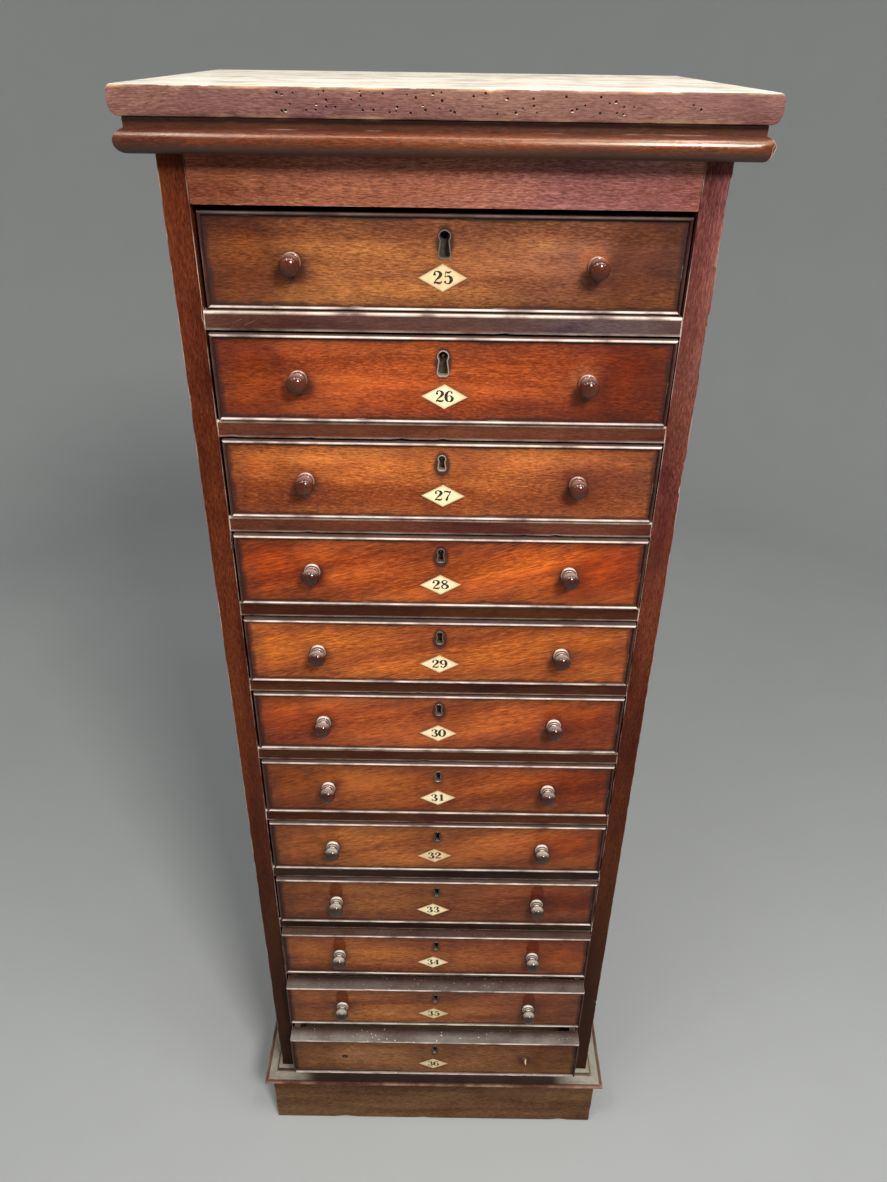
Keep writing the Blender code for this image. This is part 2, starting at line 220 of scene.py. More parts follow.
def split(vector):
    """The X, Y and Z of a vector."""
    return add_node("SeparateXYZ", {0: vector})


def from_middle(place):
    """How far a point is from the middle, to the left or to the right."""
    return calc("ABSOLUTE", split(place)["X"])


# %% [markdown]
# A node group is a building block with named sockets. It is made once and placed in every material that needs it.

# %% Node group helpers
def make_group(name, inputs, outputs=("Mask",)):
    """A shader node group that takes a Vector and more inputs with the given defaults.

    A default of four numbers makes a colour, and so does the output name Color. It gives the group, its input
    node's outputs and its output node's inputs.
    """
    group = bpy.data.node_groups.new(name, "ShaderNodeTree")
    group.interface.new_socket(name="Vector", in_out="INPUT", socket_type="NodeSocketVector")
    for label, value in inputs.items():
        kind = "NodeSocketColor" if isinstance(value, tuple) else "NodeSocketFloat"
        group.interface.new_socket(name=label, in_out="INPUT", socket_type=kind).default_value = value
    for label in outputs:
        kind = "NodeSocketColor" if label == "Color" else "NodeSocketFloat"
        group.interface.new_socket(name=label, in_out="OUTPUT", socket_type=kind)
    return group, group.nodes.new("NodeGroupInput").outputs, group.nodes.new("NodeGroupOutput").inputs


def use_group(group, feeds):
    """Place a node group in a material; gives its outputs."""
    return add_node("Group", feeds, node_tree=group)


# %% [markdown]
# Mahogany under old French polish has several scales of figure: broad bands of lighter and darker wood, fine growth
# lines, short flecks and short dark pores. All run along the board. The group takes coordinates in metres whose X
# lies along the grain and stretches noise along it, so an end of a board shows end grain by itself.

# %% Wood figure group
figure_group, given, wanted = make_group(
    "wood_figure", {"Dark": (0.05, 0.015, 0.008, 1), "Light": (0.3, 0.1, 0.04, 1), "Pore": (0.02, 0.006, 0.004, 1),
                    "Contrast": 0.5, "Pores": 0.5}, ("Color", "Height", "Tone"))
sway = add_node("TexNoise", {"Vector": given["Vector"], "Scale": 4.0, "Detail": 2.0})["Color"]
sway = vector_calc("SUBTRACT", sway, (0.5, 0.5, 0.5))[0]
sway = vector_calc("MULTIPLY", sway, (0, 0.020, 0.020))[0]
swayed = vector_calc("ADD", given["Vector"], sway)[0]
bands = stretched_noise(swayed, (2.4, 34, 34))
lines = stretched_noise(swayed, (130, 950, 950), 3.0, 0.6)
flecks = stretched_noise(swayed, (240, 1300, 1300), 2.0, 0.6)
fibres = stretched_noise(swayed, (60, 1700, 1700), 2.0, 0.6)
tone = plus(times(bands, 0.33), times(lines, 0.37), times(flecks, 0.30))
spread = minus(0.205, times(given["Contrast"], 0.15))
tone = ease(tone, minus(0.5, spread), plus(0.5, spread))
pores = times(ease(stretched_noise(swayed, (150, 1500, 1500), 1.0), 0.57, 0.70), given["Pores"])
wood = blend_colours(tone, given["Dark"], given["Light"])
wood = blend_colours(ease(fibres, 0.35, 0.7, 0.0, 0.55), wood, given["Dark"])
wood = blend_colours(times(pores, 0.55), wood, given["Pore"])
feed(wanted, {"Color": wood, "Height": minus(times(fibres, 0.35), pores), "Tone": tone})
print("group", figure_group.name, "nodes", len(figure_group.nodes))

# %% [markdown]
# Hands, cloths and sliding wood rub the polish off wherever a piece has an edge, and leave it paler. Pieces made
# here carry how near each point is to an edge as a mesh attribute. The solids of the model don't, so the group also
# compares the surface's direction with that of a slightly rounded copy, which differs only beside edges. Noise
# breaks both into patches.

# %% Edge wear group
wear_group, given, wanted = make_group("edge_wear", {"Edge": 0.0, "Radius": 0.002, "Patches": 30.0, "Amount": 0.5})
rounded = add_node("Bevel", {"Radius": given["Radius"]}, samples=6)[0]
flat = add_node("NewGeometry", tree=wear_group)["Normal"]
beside = most(ease(vector_calc("DOT_PRODUCT", rounded, flat)["Value"], 0.995, 0.86), given["Edge"])
patches = even_noise(given["Vector"], given["Patches"], 4.0)
patches = ease(patches, minus(0.68, times(given["Amount"], 0.4)), 0.72)
feed(wanted, {"Mask": times(beside, patches, clamp=True)})

# %% [markdown]
# Dust settles on whatever faces up and lies thicker in some places than others. The direction of the surface gives
# the first and noise the second. Pale crumbs lie on it: a few cells of a Voronoi pattern, each one round grain.

# %% Settled dust group
dust_group, given, wanted = make_group("settled_dust", {"Amount": 0.5, "Speck": 0.0}, ("Mask", "Crumbs"))
upward = ease(split(add_node("NewGeometry", tree=dust_group)["Normal"])["Z"], 0.25, 0.95)
lie = times(ease(even_noise(given["Vector"], 28.0, 6.0), 0.25, 0.75, 0.45, 1.0), given["Amount"])
cells = add_node("TexVoronoi", {"Vector": given["Vector"], "Scale": 170.0})
chosen = ease(split(cells["Color"])["X"], 0.40, 0.45)
crumbs = times(ease(cells["Distance"], 0.17, 0.11), chosen, upward)
feed(wanted, {"Mask": times(upward, lie, clamp=True), "Crumbs": times(crumbs, given["Speck"], clamp=True)})

# %% [markdown]
# Wax and dirt build up where a cloth doesn't reach: along the inside of a drawer's bead and round its knobs, label
# and keyhole. The same masks also paint shade inside the bead, under its lip, and shadow below the knobs. One group
# measures the distance to the panel's border, the other the distance to a round or oval thing, and both fade that
# distance out and let noise fray it. At the ends of a panel the dirt reaches further in.

# %% Grime groups
border_group, given, wanted = make_group("border_grime_and_shade",
                                         {"Half Width": 0.2, "Foot": 0.0, "Head": 0.08, "Reach": 0.006})
place = split(given["Vector"])
side = times(minus(given["Half Width"], calc("ABSOLUTE", place["X"])), 0.7)
near = least(minus(place["Z"], given["Foot"]), minus(given["Head"], place["Z"]), side)
near = plus(near, times(minus(even_noise(given["Vector"], 80.0, 5.0), 0.5), 0.005))
reach = times(given["Reach"], ease(even_noise(given["Vector"], 17.0), 0.3, 0.7, 0.45, 1.45))
feed(wanted, {"Mask": ease(near, reach, times(reach, 0.1))})

halo_group, given, wanted = make_group("halo", {"Centre X": 0.0, "Centre Z": 0.0, "Flatness": 1.0, "Radius": 0.01,
                                                "Reach": 0.006, "Mirrored": 0.0})
place = split(given["Vector"])
across = blend_values(given["Mirrored"], place["X"], calc("ABSOLUTE", place["X"]))
across = calc("DIVIDE", minus(across, given["Centre X"]), given["Flatness"])
up = minus(place["Z"], given["Centre Z"])
away = minus(calc("SQRT", plus(times(across, across), times(up, up))), given["Radius"])
away = plus(away, times(minus(even_noise(given["Vector"], 70.0, 3.0), 0.5), 0.008))
fade = calc("EXPONENT", calc("DIVIDE", times(away, -1), given["Reach"]))
feed(wanted, {"Mask": least(fade, 1.0, clamp=True)})


def spot(x, z, radius, reach, flatness=1.0, mirrored=0.0):
    """Where a round or flattened spot lies on a piece and how far it fades; mirrored draws it on both sides."""
    return {"Centre X": x, "Centre Z": z, "Radius": radius, "Reach": reach, "Flatness": flatness,
            "Mirrored": mirrored}


def halo(place, where):
    """The mask of one spot."""
    return use_group(halo_group, {"Vector": place, **where})["Mask"]


# %% [markdown]
# Fine scratches catch the light. They are thin lines that run roughly one way, so a strongly stretched noise with
# a narrow window gives them, and a second noise keeps them to some places only.

# %% Scratches group
scratch_slope = math.radians(24)
scratch_group, given, wanted = make_group("scratches", {"Amount": 0.5})
turned = add_node("Mapping", {"Vector": given["Vector"], "Rotation": (0, scratch_slope, 0)})[0]
hair = stretched_noise(turned, (20, 1500, 900), 1.0)
hair = times(ease(hair, 0.715, 0.735), ease(hair, 0.77, 0.75))
where = times(ease(even_noise(given["Vector"], 14.0), 0.55, 0.68), given["Amount"])
feed(wanted, {"Mask": times(hair, where, clamp=True)})
print("groups", len(bpy.data.node_groups))

# %% [markdown]
# One function mixes every wood finish from those groups. Grain says which way the board's fibres run; the offset
# cuts each board from another part of the tree. Dirt, with painted shade in some finishes, bare wood on worn edges
# and dust are laid over the figure in that order, as they came, and each also changes the gloss. On the beads the
# bare wood, and on the knobs the dust, are partly painted highlight and sheen.

# %% Wood finish
grime_and_shade_colour = (0.024, 0.013, 0.012, 1)
bare_colour = (0.55, 0.38, 0.30, 1)
scuff_colour = (0.44, 0.135, 0.045, 1)
dust_colour = (0.30, 0.265, 0.23, 1)
crumb_colour = (0.80, 0.74, 0.60, 1)
golden_polish = (1.34, 1.52, 1.20, 1)
plum_polish = (0.57, 0.48, 0.66, 1)
# A painted sheen: a cool pale reflection that lifts blue most.
painted_cool_sheen = (1.0, 1.30, 2.2, 1)
fiery_polish = (1.40, 0.95, 0.52, 1)
wood_relief = 0.00007


def new_finish(name):
    """A new material; gives it, its Principled shader and the object coordinates that its nodes start from."""
    material = bpy.data.materials.new(name)
    material.use_nodes = True
    tree = material.node_tree
    return material, tree.nodes["Principled BSDF"], add_node("TexCoord", tree=tree)["Object"]


def dimmed(colour, share):
    """A colour at some share of its brightness."""
    return tuple(share * value for value in colour[:3]) + (1,)


def wood_finish(name, tone, grain="X", offset=(0, 0, 0), spread=0.62, contrast=0.6, pores=0.4, gloss=0.6, wear=0.4,
                wear_radius=0.0016, bare=bare_colour, dust=0.2, dust_tint=dust_colour, specks=0.0, scratches=0.3,
                variety=0.6, grime_and_shade_tint=grime_and_shade_colour, extra_grime_and_shade=None, dust_where=None, specks_where=None,
                patches=(), scuffs=(), slope=0.0, stretch=1.0):
    """A wood finish about a middle tone.

    variety is how much the polish drifts between golden and plum. extra_grime_and_shade, dust_where and specks_where
    add nodes that give a mask of more dirt, which in several finishes is also painted shade, and of where dust (on the
    knobs also a painted sheen) and crumbs may lie. Each of the patches is a spot of other polish, some of them painted
    sheen or painted shadow, and each of the scuffs a spot where handling has rubbed through dirt and polish. slope is
    the rise of the grain in degrees and a stretch below 1 makes its lines longer, both for grain along X.
    """
    material, shader, place = new_finish(name)
    dark = tuple(tone[k] * (1 - spread * (0.90, 1.08, 1.15)[k]) for k in range(3)) + (1,)
    light = tuple(tone[k] * (1 + spread * (0.95, 1.15, 0.85)[k]) for k in range(3)) + (1,)
    rise = math.atan(math.tan(math.radians(slope)) / stretch)
    turn = {"X": (0, rise, 0), "Y": (0, 0, -math.pi / 2), "Z": (0, math.pi / 2, 0)}[grain]
    laid = add_node("Mapping", {"Vector": place, "Location": offset, "Rotation": turn, "Scale": (stretch, 1, 1)})[0]
    figure = use_group(figure_group, {"Vector": laid, "Dark": dark, "Light": light, "Pore": dimmed(tone, 0.12),
                                      "Contrast": contrast, "Pores": pores})
    cloud = even_noise(place, 11.0, 4.0)
    colour = blend_colours(ease(cloud, 0.45, 0.75, 0.0, 0.45), figure["Color"], dark)
    drift = stretched_noise(laid, (5, 24, 24), 5.0, 0.62)
    colour = blend_colours(ease(drift, 0.50, 0.62, 0.0, variety), colour, golden_polish, "MULTIPLY")
    colour = blend_colours(ease(drift, 0.49, 0.37, 0.0, variety), colour, plum_polish, "MULTIPLY")
    for where, polish, amount in patches:
        colour = blend_colours(times(halo(place, where), amount), colour, polish, "MULTIPLY")
    # Dirt comes from a cloud of noise and each finish's own mask; in several finishes that mask is painted shade as
    # well.
    dirt = ease(cloud, 0.6, 0.9, 0.0, 0.3)
    if extra_grime_and_shade is not None:
        dirt = most(dirt, extra_grime_and_shade(place))
    colour = blend_colours(dirt, colour, grime_and_shade_tint)
    for where, amount in scuffs:
        rubbed_through = times(halo(place, where), ease(figure["Tone"], 0.2, 0.8, 0.35, 1.0), amount)
        colour = blend_colours(rubbed_through, colour, scuff_colour)
    edge = add_node("Attribute", tree=material.node_tree, attribute_name="edge")["Fac"]
    rubbed = use_group(wear_group, {"Vector": place, "Edge": edge, "Radius": wear_radius, "Amount": wear})["Mask"]
    colour = blend_colours(rubbed, colour, bare)
    marks = use_group(scratch_group, {"Vector": laid, "Amount": scratches})["Mask"]
    colour = blend_colours(times(marks, 0.4), colour, bare)
    fallen = use_group(dust_group, {"Vector": place, "Amount": dust, "Speck": specks})
    lying = fallen["Mask"] if dust_where is None else times(fallen["Mask"], dust_where(place))
    settled = blend_colours(ease(figure["Tone"], 0.1, 0.9), dimmed(dust_tint, 0.74), dust_tint)
    colour = blend_colours(lying, colour, settled)
    if specks:
        colour = blend_colours(times(fallen["Crumbs"], specks_where(place)), colour, crumb_colour)
    rough = ease(even_noise(place, 22.0, 5.0), 0.25, 0.8, 0.60 - 0.38 * gloss, 0.78 - 0.32 * gloss)
    for mask, roughness in ((dirt, 0.55), (rubbed, 0.42), (lying, 0.92)):
        rough = blend_values(mask, rough, roughness)
    height = minus(plus(figure["Height"], times(even_noise(place, 45.0), 2.2)), marks)
    bump = add_node("Bump", {"Height": height, "Distance": wood_relief, "Strength": 1.0})[0]
    feed(shader.inputs, {"Base Color": colour, "Roughness": rough, "Normal": bump,
                         "Specular IOR Level": 0.03 + 0.12 * gloss, "Coat Weight": 0.06 * gloss,
                         "Coat Roughness": 0.22})
    return material


# %% [markdown]
# The room's paper is matt with a hardly visible mottle. Its back is transparent.

# %% Room finish
backdrop_colour = (0.405, 0.42, 0.42, 1)
paper, shader, place = new_finish("backdrop_paper")
clear = add_node("BsdfTransparent", tree=paper.node_tree)[0]
behind = add_node("NewGeometry", tree=paper.node_tree)["Backfacing"]
seen = add_node("MixShader", {0: behind, 1: shader.outputs[0], 2: clear})[0]
feed(paper.node_tree.nodes["Material Output"].inputs, {"Surface": seen})
tone = blend_colours(even_noise(place, 6.0, 4.0), backdrop_colour, dimmed(backdrop_colour, 0.94))
feed(shader.inputs, {"Base Color": tone, "Roughness": 0.9})
room.data.materials.append(paper)

# %% [markdown]
# Most pieces of the chest are lengths of stock with a constant section: rails, boards, beads and mouldings. One
# function sweeps a section along X in short steps, moves its corners in and out a little so that the arrises look
# used, and cuts its ends square or to a mitre. Each point of a section is (out, up, edge): how far it stands out,
# how high it is, and how much wear it gets. The placing matrix turns it to where it goes.

# %% Lengths of stock
def section_box(thickness, height, ease_by=0.0008, edges=(1, 1, 1, 1), rub=0.0022):
    """Section of a board with eased corners; the edges are front-bottom, front-top, back-top and back-bottom.

    Wear fades to nothing at the distance rub from each corner.
    """
    corners = ((thickness, 0, -1, 1), (thickness, height, -1, -1), (0, height, 1, -1), (0, 0, 1, 1))
    points = []
    for (out, up, towards, rise), edge in zip(corners, edges):
        along_out = [(out + towards * rub, up, 0.0), (out + towards * ease_by, up, 0.7 * edge)]
        middle = [(out + towards * 0.3 * ease_by, up + rise * 0.3 * ease_by, edge)]
        along_up = [(out, up + rise * ease_by, 0.7 * edge), (out, up + rise * rub, 0.0)]
        corner = along_out + middle + along_up
        points += corner if towards * rise < 0 else corner[::-1]
    return points


def ring_shape(rings, loop=False):
    """Points and faces between rings of equally many points, with capped ends unless it closes on itself."""
    count = len(rings[0])
    vertices = [tuple(point) for ring in rings for point in ring]
    faces = []
    for i in range(len(rings) if loop else len(rings) - 1):
        a, b = i * count, (i + 1) % len(rings) * count
        faces += [(a + k, a + (k + 1) % count, b + (k + 1) % count, b + k) for k in range(count)]
    if not loop:
        faces += [tuple(range(count)), tuple((len(rings) - 1) * count + k for k in range(count))]
    return vertices, faces


def join_shapes(shapes):
    """Points and faces of several shapes in one list."""
    vertices, faces = [], []
    for shape_vertices, shape_faces in shapes:
        base = len(vertices)
        vertices += shape_vertices
        faces += [tuple(base + i for i in face) for face in shape_faces]
    return vertices, faces


def stock(section, length, placing, ends=(0, 0), spacing=0.012, wobble=0.00025, nicks=(), seed=0, squeeze=None):
    """Sweep a section along X; gives points, faces and the wear of each point.

    ends are the slopes of the mitres, nicks are (x, out, up, reach, depth).
    """
    steps = max(2, round(length / spacing))
    centre_out = sum(p[0] for p in section) / len(section)
    centre_up = sum(p[1] for p in section) / len(section)
    rings, edge_values = [], []
    for step in range(steps + 1):
        share = step / steps
        ring = []
        for out, up, edge in section:
            start = ends[0] * out
            point = Vector((start + (length + ends[1] * out - start) * share, out, up))
            drift = noise.noise(point * 90 + Vector((seed * 7.3, 0, seed)))
            inward = Vector((0, centre_out - out, centre_up - up)).normalized()
            moved = point + inward * wobble * edge * (drift + 0.6)
            worn = edge
            for nick_x, nick_out, nick_up, reach, depth in nicks:
                gap = (point - Vector((nick_x, nick_out, nick_up))).length
                if gap < reach:
                    pull = (1 - (gap / reach) ** 2) ** 2
                    moved = moved + inward * depth * pull
                    worn = max(worn, edge * min(1.5, 3 * pull))
            if squeeze is not None:
                moved = squeeze(moved)
            ring.append(placing @ moved)
            edge_values.append(worn)
        rings.append(ring)
    return (*ring_shape(rings), edge_values)


# %% [markdown]
# How worn each point is goes into a mesh attribute that the finishes read. A matrix lays each length of stock where
# it belongs, and each piece gets its finish and the body that it moves with.

# %% Pieces made of stock
def set_edges(piece, values):
    """Keep how worn each point is as the attribute that the finishes read."""
    piece.data.attributes.new("edge", "FLOAT", "POINT").data.foreach_set("value", values)


def finish_piece(piece, material, body):
    """Give a piece its finish and the body that it moves with."""
    piece.data.materials.clear()
    piece.data.materials.append(material)
    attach(piece, body)
    return piece


def add_stock(name, runs, material, body="carcass"):
    """Make one piece from one or more lengths of stock."""
    piece = mesh_object(name, *join_shapes([run[:2] for run in runs]))
    set_edges(piece, [value for run in runs for value in run[2]])
    return finish_piece(piece, material, body)


def axes(along, out, up, origin):
    """Matrix that lays a length of stock: its X, its outward side and its upward side, and where it starts."""
    matrix = Matrix((Vector(along), Vector(out), Vector(up))).transposed().to_4x4()
    return Matrix.Translation(Vector(origin)) @ matrix


def along_front(origin):
    """The same for stock that runs to the right and faces the front."""
    return axes((1, 0, 0), (0, -1, 0), (0, 0, 1), origin)


# %% [markdown]
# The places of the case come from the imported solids, so nothing here can drift away from them. The left side board
# gives the plane of the front, the half width and the height; each drawer's box gives its own place.

# %% Places read from the model
side_low, side_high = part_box("side_left")
front_plane = side_low.y
half_case = -side_low.x
case_top = side_high.z
case_back = side_high.y
stile_width = side_high.x - side_low.x
half_opening = half_case - stile_width
numbers = range(25, 37)
hands = (("left", -1), ("right", 1))
bead_proud = 0.0026
bead_width = 0.0032
front_thickness = 0.0200
front_lift = 0.0005
drawer_places = {}
for number in numbers:
    low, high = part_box(f"drawer_{number}")
    drawer_places[number] = Vector(((low.x + high.x) / 2, low.y + bead_proud, low.z))
half_front = (high.x - low.x) / 2
front_head = high.z - low.z
tray_end = high.y - low.y - bead_proud
print("front plane", round(front_plane, 4), "case top", round(case_top, 4), "front", round(2 * half_front, 4))

# %% [markdown]
# The case's own finishes. The stiles are red-brown with an upright grain, the rails a little darker, the top's
# upper face is bleached and dry, the plinth is dull. Secondary wood inside is plain pine.

# %% Case finishes
# The sides' dark tint: for random dirt, and for the darkening that grows towards the floor.
side_dark_colour = (0.023, 0.012, 0.0065, 1)
rail_thickness = 0.0180


def foot_grime(place):
    """Darker towards the floor."""
    return ease(split(place)["Z"], 1.10, 0.20, 0.0, 0.84)


def frieze_grime(place):
    """Dirt and painted shade under the cornice, where no cloth reaches."""
    return ease(split(place)["Z"], case_top - 0.054, case_top - 0.026, 0.0, 0.08)


side_look = {"contrast": 0.5, "pores": 0.5, "gloss": 0.15, "wear": 0.8, "bare": (0.66, 0.50, 0.40, 1),
             "grime_and_shade_tint": side_dark_colour, "extra_grime_and_shade": foot_grime}
# A painted sheen: a pale lilac reflection of a window, high on the right side board.
painted_window_sheen = (spot(0.24, 1.42, 0.12, 0.16), (1.65, 2.6, 6.6, 1), 0.8)
side_finishes = {hand: wood_finish(name, (0.105, 0.022, 0.009), "Z", (0.3, 0.1, 0.2), patches=spots, **side_look)
                 for hand, name, spots in (("left", "side_mahogany", ()),
                                           ("right", "side_mahogany_painted_sheen", (painted_window_sheen,)))}
rail_look = {"spread": 0.45, "contrast": 0.3, "pores": 0.2, "gloss": 0.5, "wear": 1.2,
             "bare": (0.86, 0.70, 0.57, 1), "variety": 1.0}
top_rail_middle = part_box("divider_25_26")[1].z - rail_thickness / 2
# The right spot is a painted cool sheen on the top rail; the left one darkens its left end.
top_rail_ends = ((spot(-0.17, top_rail_middle, 0.03, 0.04), (0.52, 0.36, 0.38, 1), 0.85),
                 (spot(0.15, top_rail_middle, 0.04, 0.04), (1.22, 1.90, 2.30, 1), 0.8))
# The rails darken downwards, partly as painted shade. Each group is the drawer above its first rail, its name,
# tone, dust and spots.
rail_groups = ((25, "top", (0.088, 0.038, 0.033), 0.3, top_rail_ends),
               (26, "upper", (0.120, 0.034, 0.020), 0.15, ()), (28, "lower", (0.058, 0.015, 0.007), 0.08, ()),
               (32, "lowest", (0.026, 0.012, 0.009), 0.1, ()))
rail_finishes = {first: wood_finish(f"rail_mahogany_{name}", tone, "X", (0.7, 0.2, 0.5), dust=dust, patches=spots,
                                    **rail_look)
                 for first, name, tone, dust, spots in rail_groups}
# The right spot is a painted cool sheen; the left one darkens the frieze's left end.
frieze_ends = ((spot(-0.21, 1.45, 0.025, 0.03), (0.66, 0.58, 0.52, 1), 1.0),
               (spot(0.145, 1.45, 0.045, 0.055), (1.12, 1.36, 2.15, 1), 0.95))
frieze_finish = wood_finish("frieze_mahogany", (0.330, 0.108, 0.068), "X", (0.1, 0.4, 0.9), contrast=0.5,
                            pores=1.0, gloss=0.5, wear=0.3, variety=0.35, grime_and_shade_tint=(0.075, 0.034, 0.036, 1),
                            extra_grime_and_shade=frieze_grime, patches=frieze_ends)
bare_look = {"gloss": 0.05, "wear": 0.1, "dust": 0.3, "variety": 0.2}
pine_finish = wood_finish("carcass_pine", (0.30, 0.18, 0.095), "X", (0.5, 0.5, 0.1), spread=0.3, pores=0.1,
                          **bare_look)
back_finish = wood_finish("back_pine", (0.26, 0.155, 0.085), "Z", (0.9, 0.3, 0.1), spread=0.45, pores=0.3,
                          **bare_look)

# %% [markdown]
# The back, frieze, base rail and inner boards already have their true shape, so the solids stay and only get
# their finish. A small bevel eases their arrises, because no arris on an old chest is sharp.

# %% Dress the solids that stay
eased_arris = 0.0007
kept_solids = {"back_panel": back_finish, "frieze_rail": frieze_finish, "base_rail": rail_finishes[32],
               "carcass_top": pine_finish, "bottom_board": pine_finish}


def dress_solid(solid, material):
    """Give a solid its finish and eased arrises."""
    solid.data.materials.clear()
    solid.data.materials.append(material)
    weld = solid.modifiers.new("weld", "WELD")
    weld.merge_threshold = 0.00001
    bevel = solid.modifiers.new("eased_arrises", "BEVEL")
    bevel.width = eased_arris
    bevel.segments = 2
    bevel.limit_method = "ANGLE"
    bevel.angle_limit = math.radians(40)
    bevel.harden_normals = True


for name, material in kept_solids.items():
    dress_solid(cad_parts[name], material)
print("kept solids", len(kept_solids))

# %% [markdown]
# Things that are cut out of a piece, such as splinters, worm holes and keyholes, are real hollows made with a
# Boolean, because shading alone looks flat from close by. Two helpers make cutters, which stand out of the wood a
# little so that they cut it clean, and one takes them out.

# %% Cutting helpers
cutter_excess = 0.001


def cylinder(centre, radius, length, sides):
    """Points and faces of a capped cylinder that starts at the centre and runs back along Y."""
    return ring_shape([[(centre[0] + x, centre[1] + end, centre[2] + z) for x, z in circle(radius, sides)]
                       for end in (0, length)])


def prism(outline, start, end):
    """Points and faces of an outline (y, z) extended along X."""
    return ring_shape([[(x, y, z) for y, z in outline] for x in (start, end)])


def cut(piece, shapes):
    """Cut shapes out of a piece for good."""
    cutter = mesh_object(piece.name + "_cutter", *join_shapes(shapes), smooth=False)
    modifier = piece.modifiers.new("cut", "BOOLEAN")
    modifier.object = cutter
    modifier.solver = "EXACT"
    depsgraph = bpy.context.evaluated_depsgraph_get()
    mesh = bpy.data.meshes.new_from_object(piece.evaluated_get(depsgraph))
    piece.modifiers.remove(modifier)
    piece.data = mesh
    bpy.data.objects.remove(cutter)


# %% [markdown]
# Each side is one board. Its front arrises have been knocked: splinters are missing, most of them high up on the
# right. The board keeps the shape of the model's solid, and slivers with a jagged outline are cut off its arrises.

# %% Side boards
splinter_step = 0.0035
splinter_cut = 0.0035
# Each splinter is the side, whether it is on the outer arris, its foot and head, and how far it bites in.
splinters = (("right", True, 1.385, 1.462, 0.0024), ("right", True, 1.285, 1.345, 0.0020),
             ("right", True, 1.160, 1.200, 0.0014), ("right", False, 1.112, 1.124, 0.0024),
             ("right", True, 0.905, 0.925, 0.0012), ("right", True, 0.300, 0.309, 0.0030),
             ("left", False, 1.330, 1.345, 0.0014), ("left", True, 1.240, 1.262, 0.0010),
             ("left", False, 1.085, 1.110, 0.0016), ("left", True, 0.140, 0.170, 0.0014))


def splinter(sign, outer, foot, head, bite, seed):
    """A jagged sliver on an arris, as a cutter."""
    randoms = random.Random(seed)
    arris = sign * (half_case if outer else half_opening)
    inwards = -sign if outer else sign
    clear = arris - inwards * cutter_excess
    count = max(2, round((head - foot) / splinter_step))
    outline = [(clear, foot), (arris, foot)]
    for k in range(1, count):
        outline.append((arris + inwards * bite * randoms.uniform(0.15, 1), foot + (head - foot) * k / count))
    outline += [(arris, head), (clear, head)]
    return ring_shape([[(x, front_plane + y, z) for x, z in outline] for y in (-cutter_excess, splinter_cut)])


for hand, sign in hands:
    board = add_object(f"side_board_{hand}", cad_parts[f"side_{hand}"].data.copy())
    cut(board, [splinter(sign, *marks, seed) for seed, (side, *marks) in enumerate(splinters) if side == hand])
    dress_solid(board, side_finishes[hand])
    finish_piece(board, side_finishes[hand], "carcass")
    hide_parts(f"side_{hand}")
print("splinters", len(splinters))

# %% [markdown]
# Between each two drawers lies a mahogany rail with a pine dust board joined on behind it. They are two woods, so
# each pair replaces one solid of the model. The rails' arrises have been knocked by the drawers for generations,
# hence the nicks.

# %% Rails and dust boards
rail_depth = 0.0450
dust_board_thickness = 0.0110
touch_gap = 0.0003
rail_length = 2 * half_opening


def rail_nicks(randoms, count=5):
    """Some knocks along the two front arrises of a rail, and one at each upper corner."""
    nicks = []
    for _ in range(count):
        up = rail_thickness if randoms.random() < 0.6 else 0.0
        nicks.append((randoms.uniform(0, rail_length), rail_depth, up, randoms.uniform(0.003, 0.007),
                      randoms.uniform(0.0006, 0.0016)))
    return nicks + [(x, rail_depth, rail_thickness, 0.009, 0.0012) for x in (0.004, rail_length - 0.004)]


for number in numbers[:-1]:
    low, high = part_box(f"divider_{number}_{number + 1}")
    run = stock(section_box(rail_depth, rail_thickness, 0.0012, (0.5, 1, 0.1, 0.1), 0.0030), rail_length,
                along_front((-half_opening, front_plane + rail_depth, high.z - rail_thickness)),
                nicks=rail_nicks(random.Random(number)), seed=number, spacing=0.004)
    rail = add_stock(f"rail_{number}_{number + 1}", [run],
                     rail_finishes[max(first for first in rail_finishes if first <= number)])
    board_depth = high.y - front_plane - rail_depth - touch_gap
    board = stock(section_box(board_depth, dust_board_thickness, 0.0005, (0.1, 0.1, 0.1, 0.1)), high.x - low.x,
                  along_front((low.x, high.y, high.z - dust_board_thickness)), seed=number, spacing=0.06)
    add_stock(f"dust_board_{number}_{number + 1}", [board], pine_finish)
    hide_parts(f"divider_{number}_{number + 1}")
print("rails", len(numbers) - 1)

# %% [markdown]
# The cornice is an upright fillet under the top and a full round nose below it, mitred at the front corners. Each
# of its three runs is swept on its own, so that the mitres show as fine lines. The right corner has lost a chip.

# %% Cornice
cornice_low, cornice_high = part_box("cornice_moulding")
cornice_height = cornice_high.z - cornice_low.z
fillet_height = 0.0085
fillet_reach = 0.0180
torus_reach = 0.0261
mitre_slit = 0.00012


def cornice_grime(place):
    """Painted shade under the nose and in the corner between the nose and the fillet."""
    height = split(place)["Z"]
    under = ease(height, cornice_low.z + 0.015, cornice_low.z + 0.002, 0.0, 0.90)
    return most(under, ease(height, cornice_high.z - 0.012, cornice_high.z - 0.008, 0.0, 0.35))


def run_finishes(name, tone, offset, *looks):
    """The finishes of a moulding's front run, with grain along X, and of its side runs, with grain along Y."""
    return [wood_finish(f"{name}{part}_mahogany", tone, grain, offset, **look)
            for part, grain, look in (("", "X", looks[0]), ("_side", "Y", looks[-1]))]


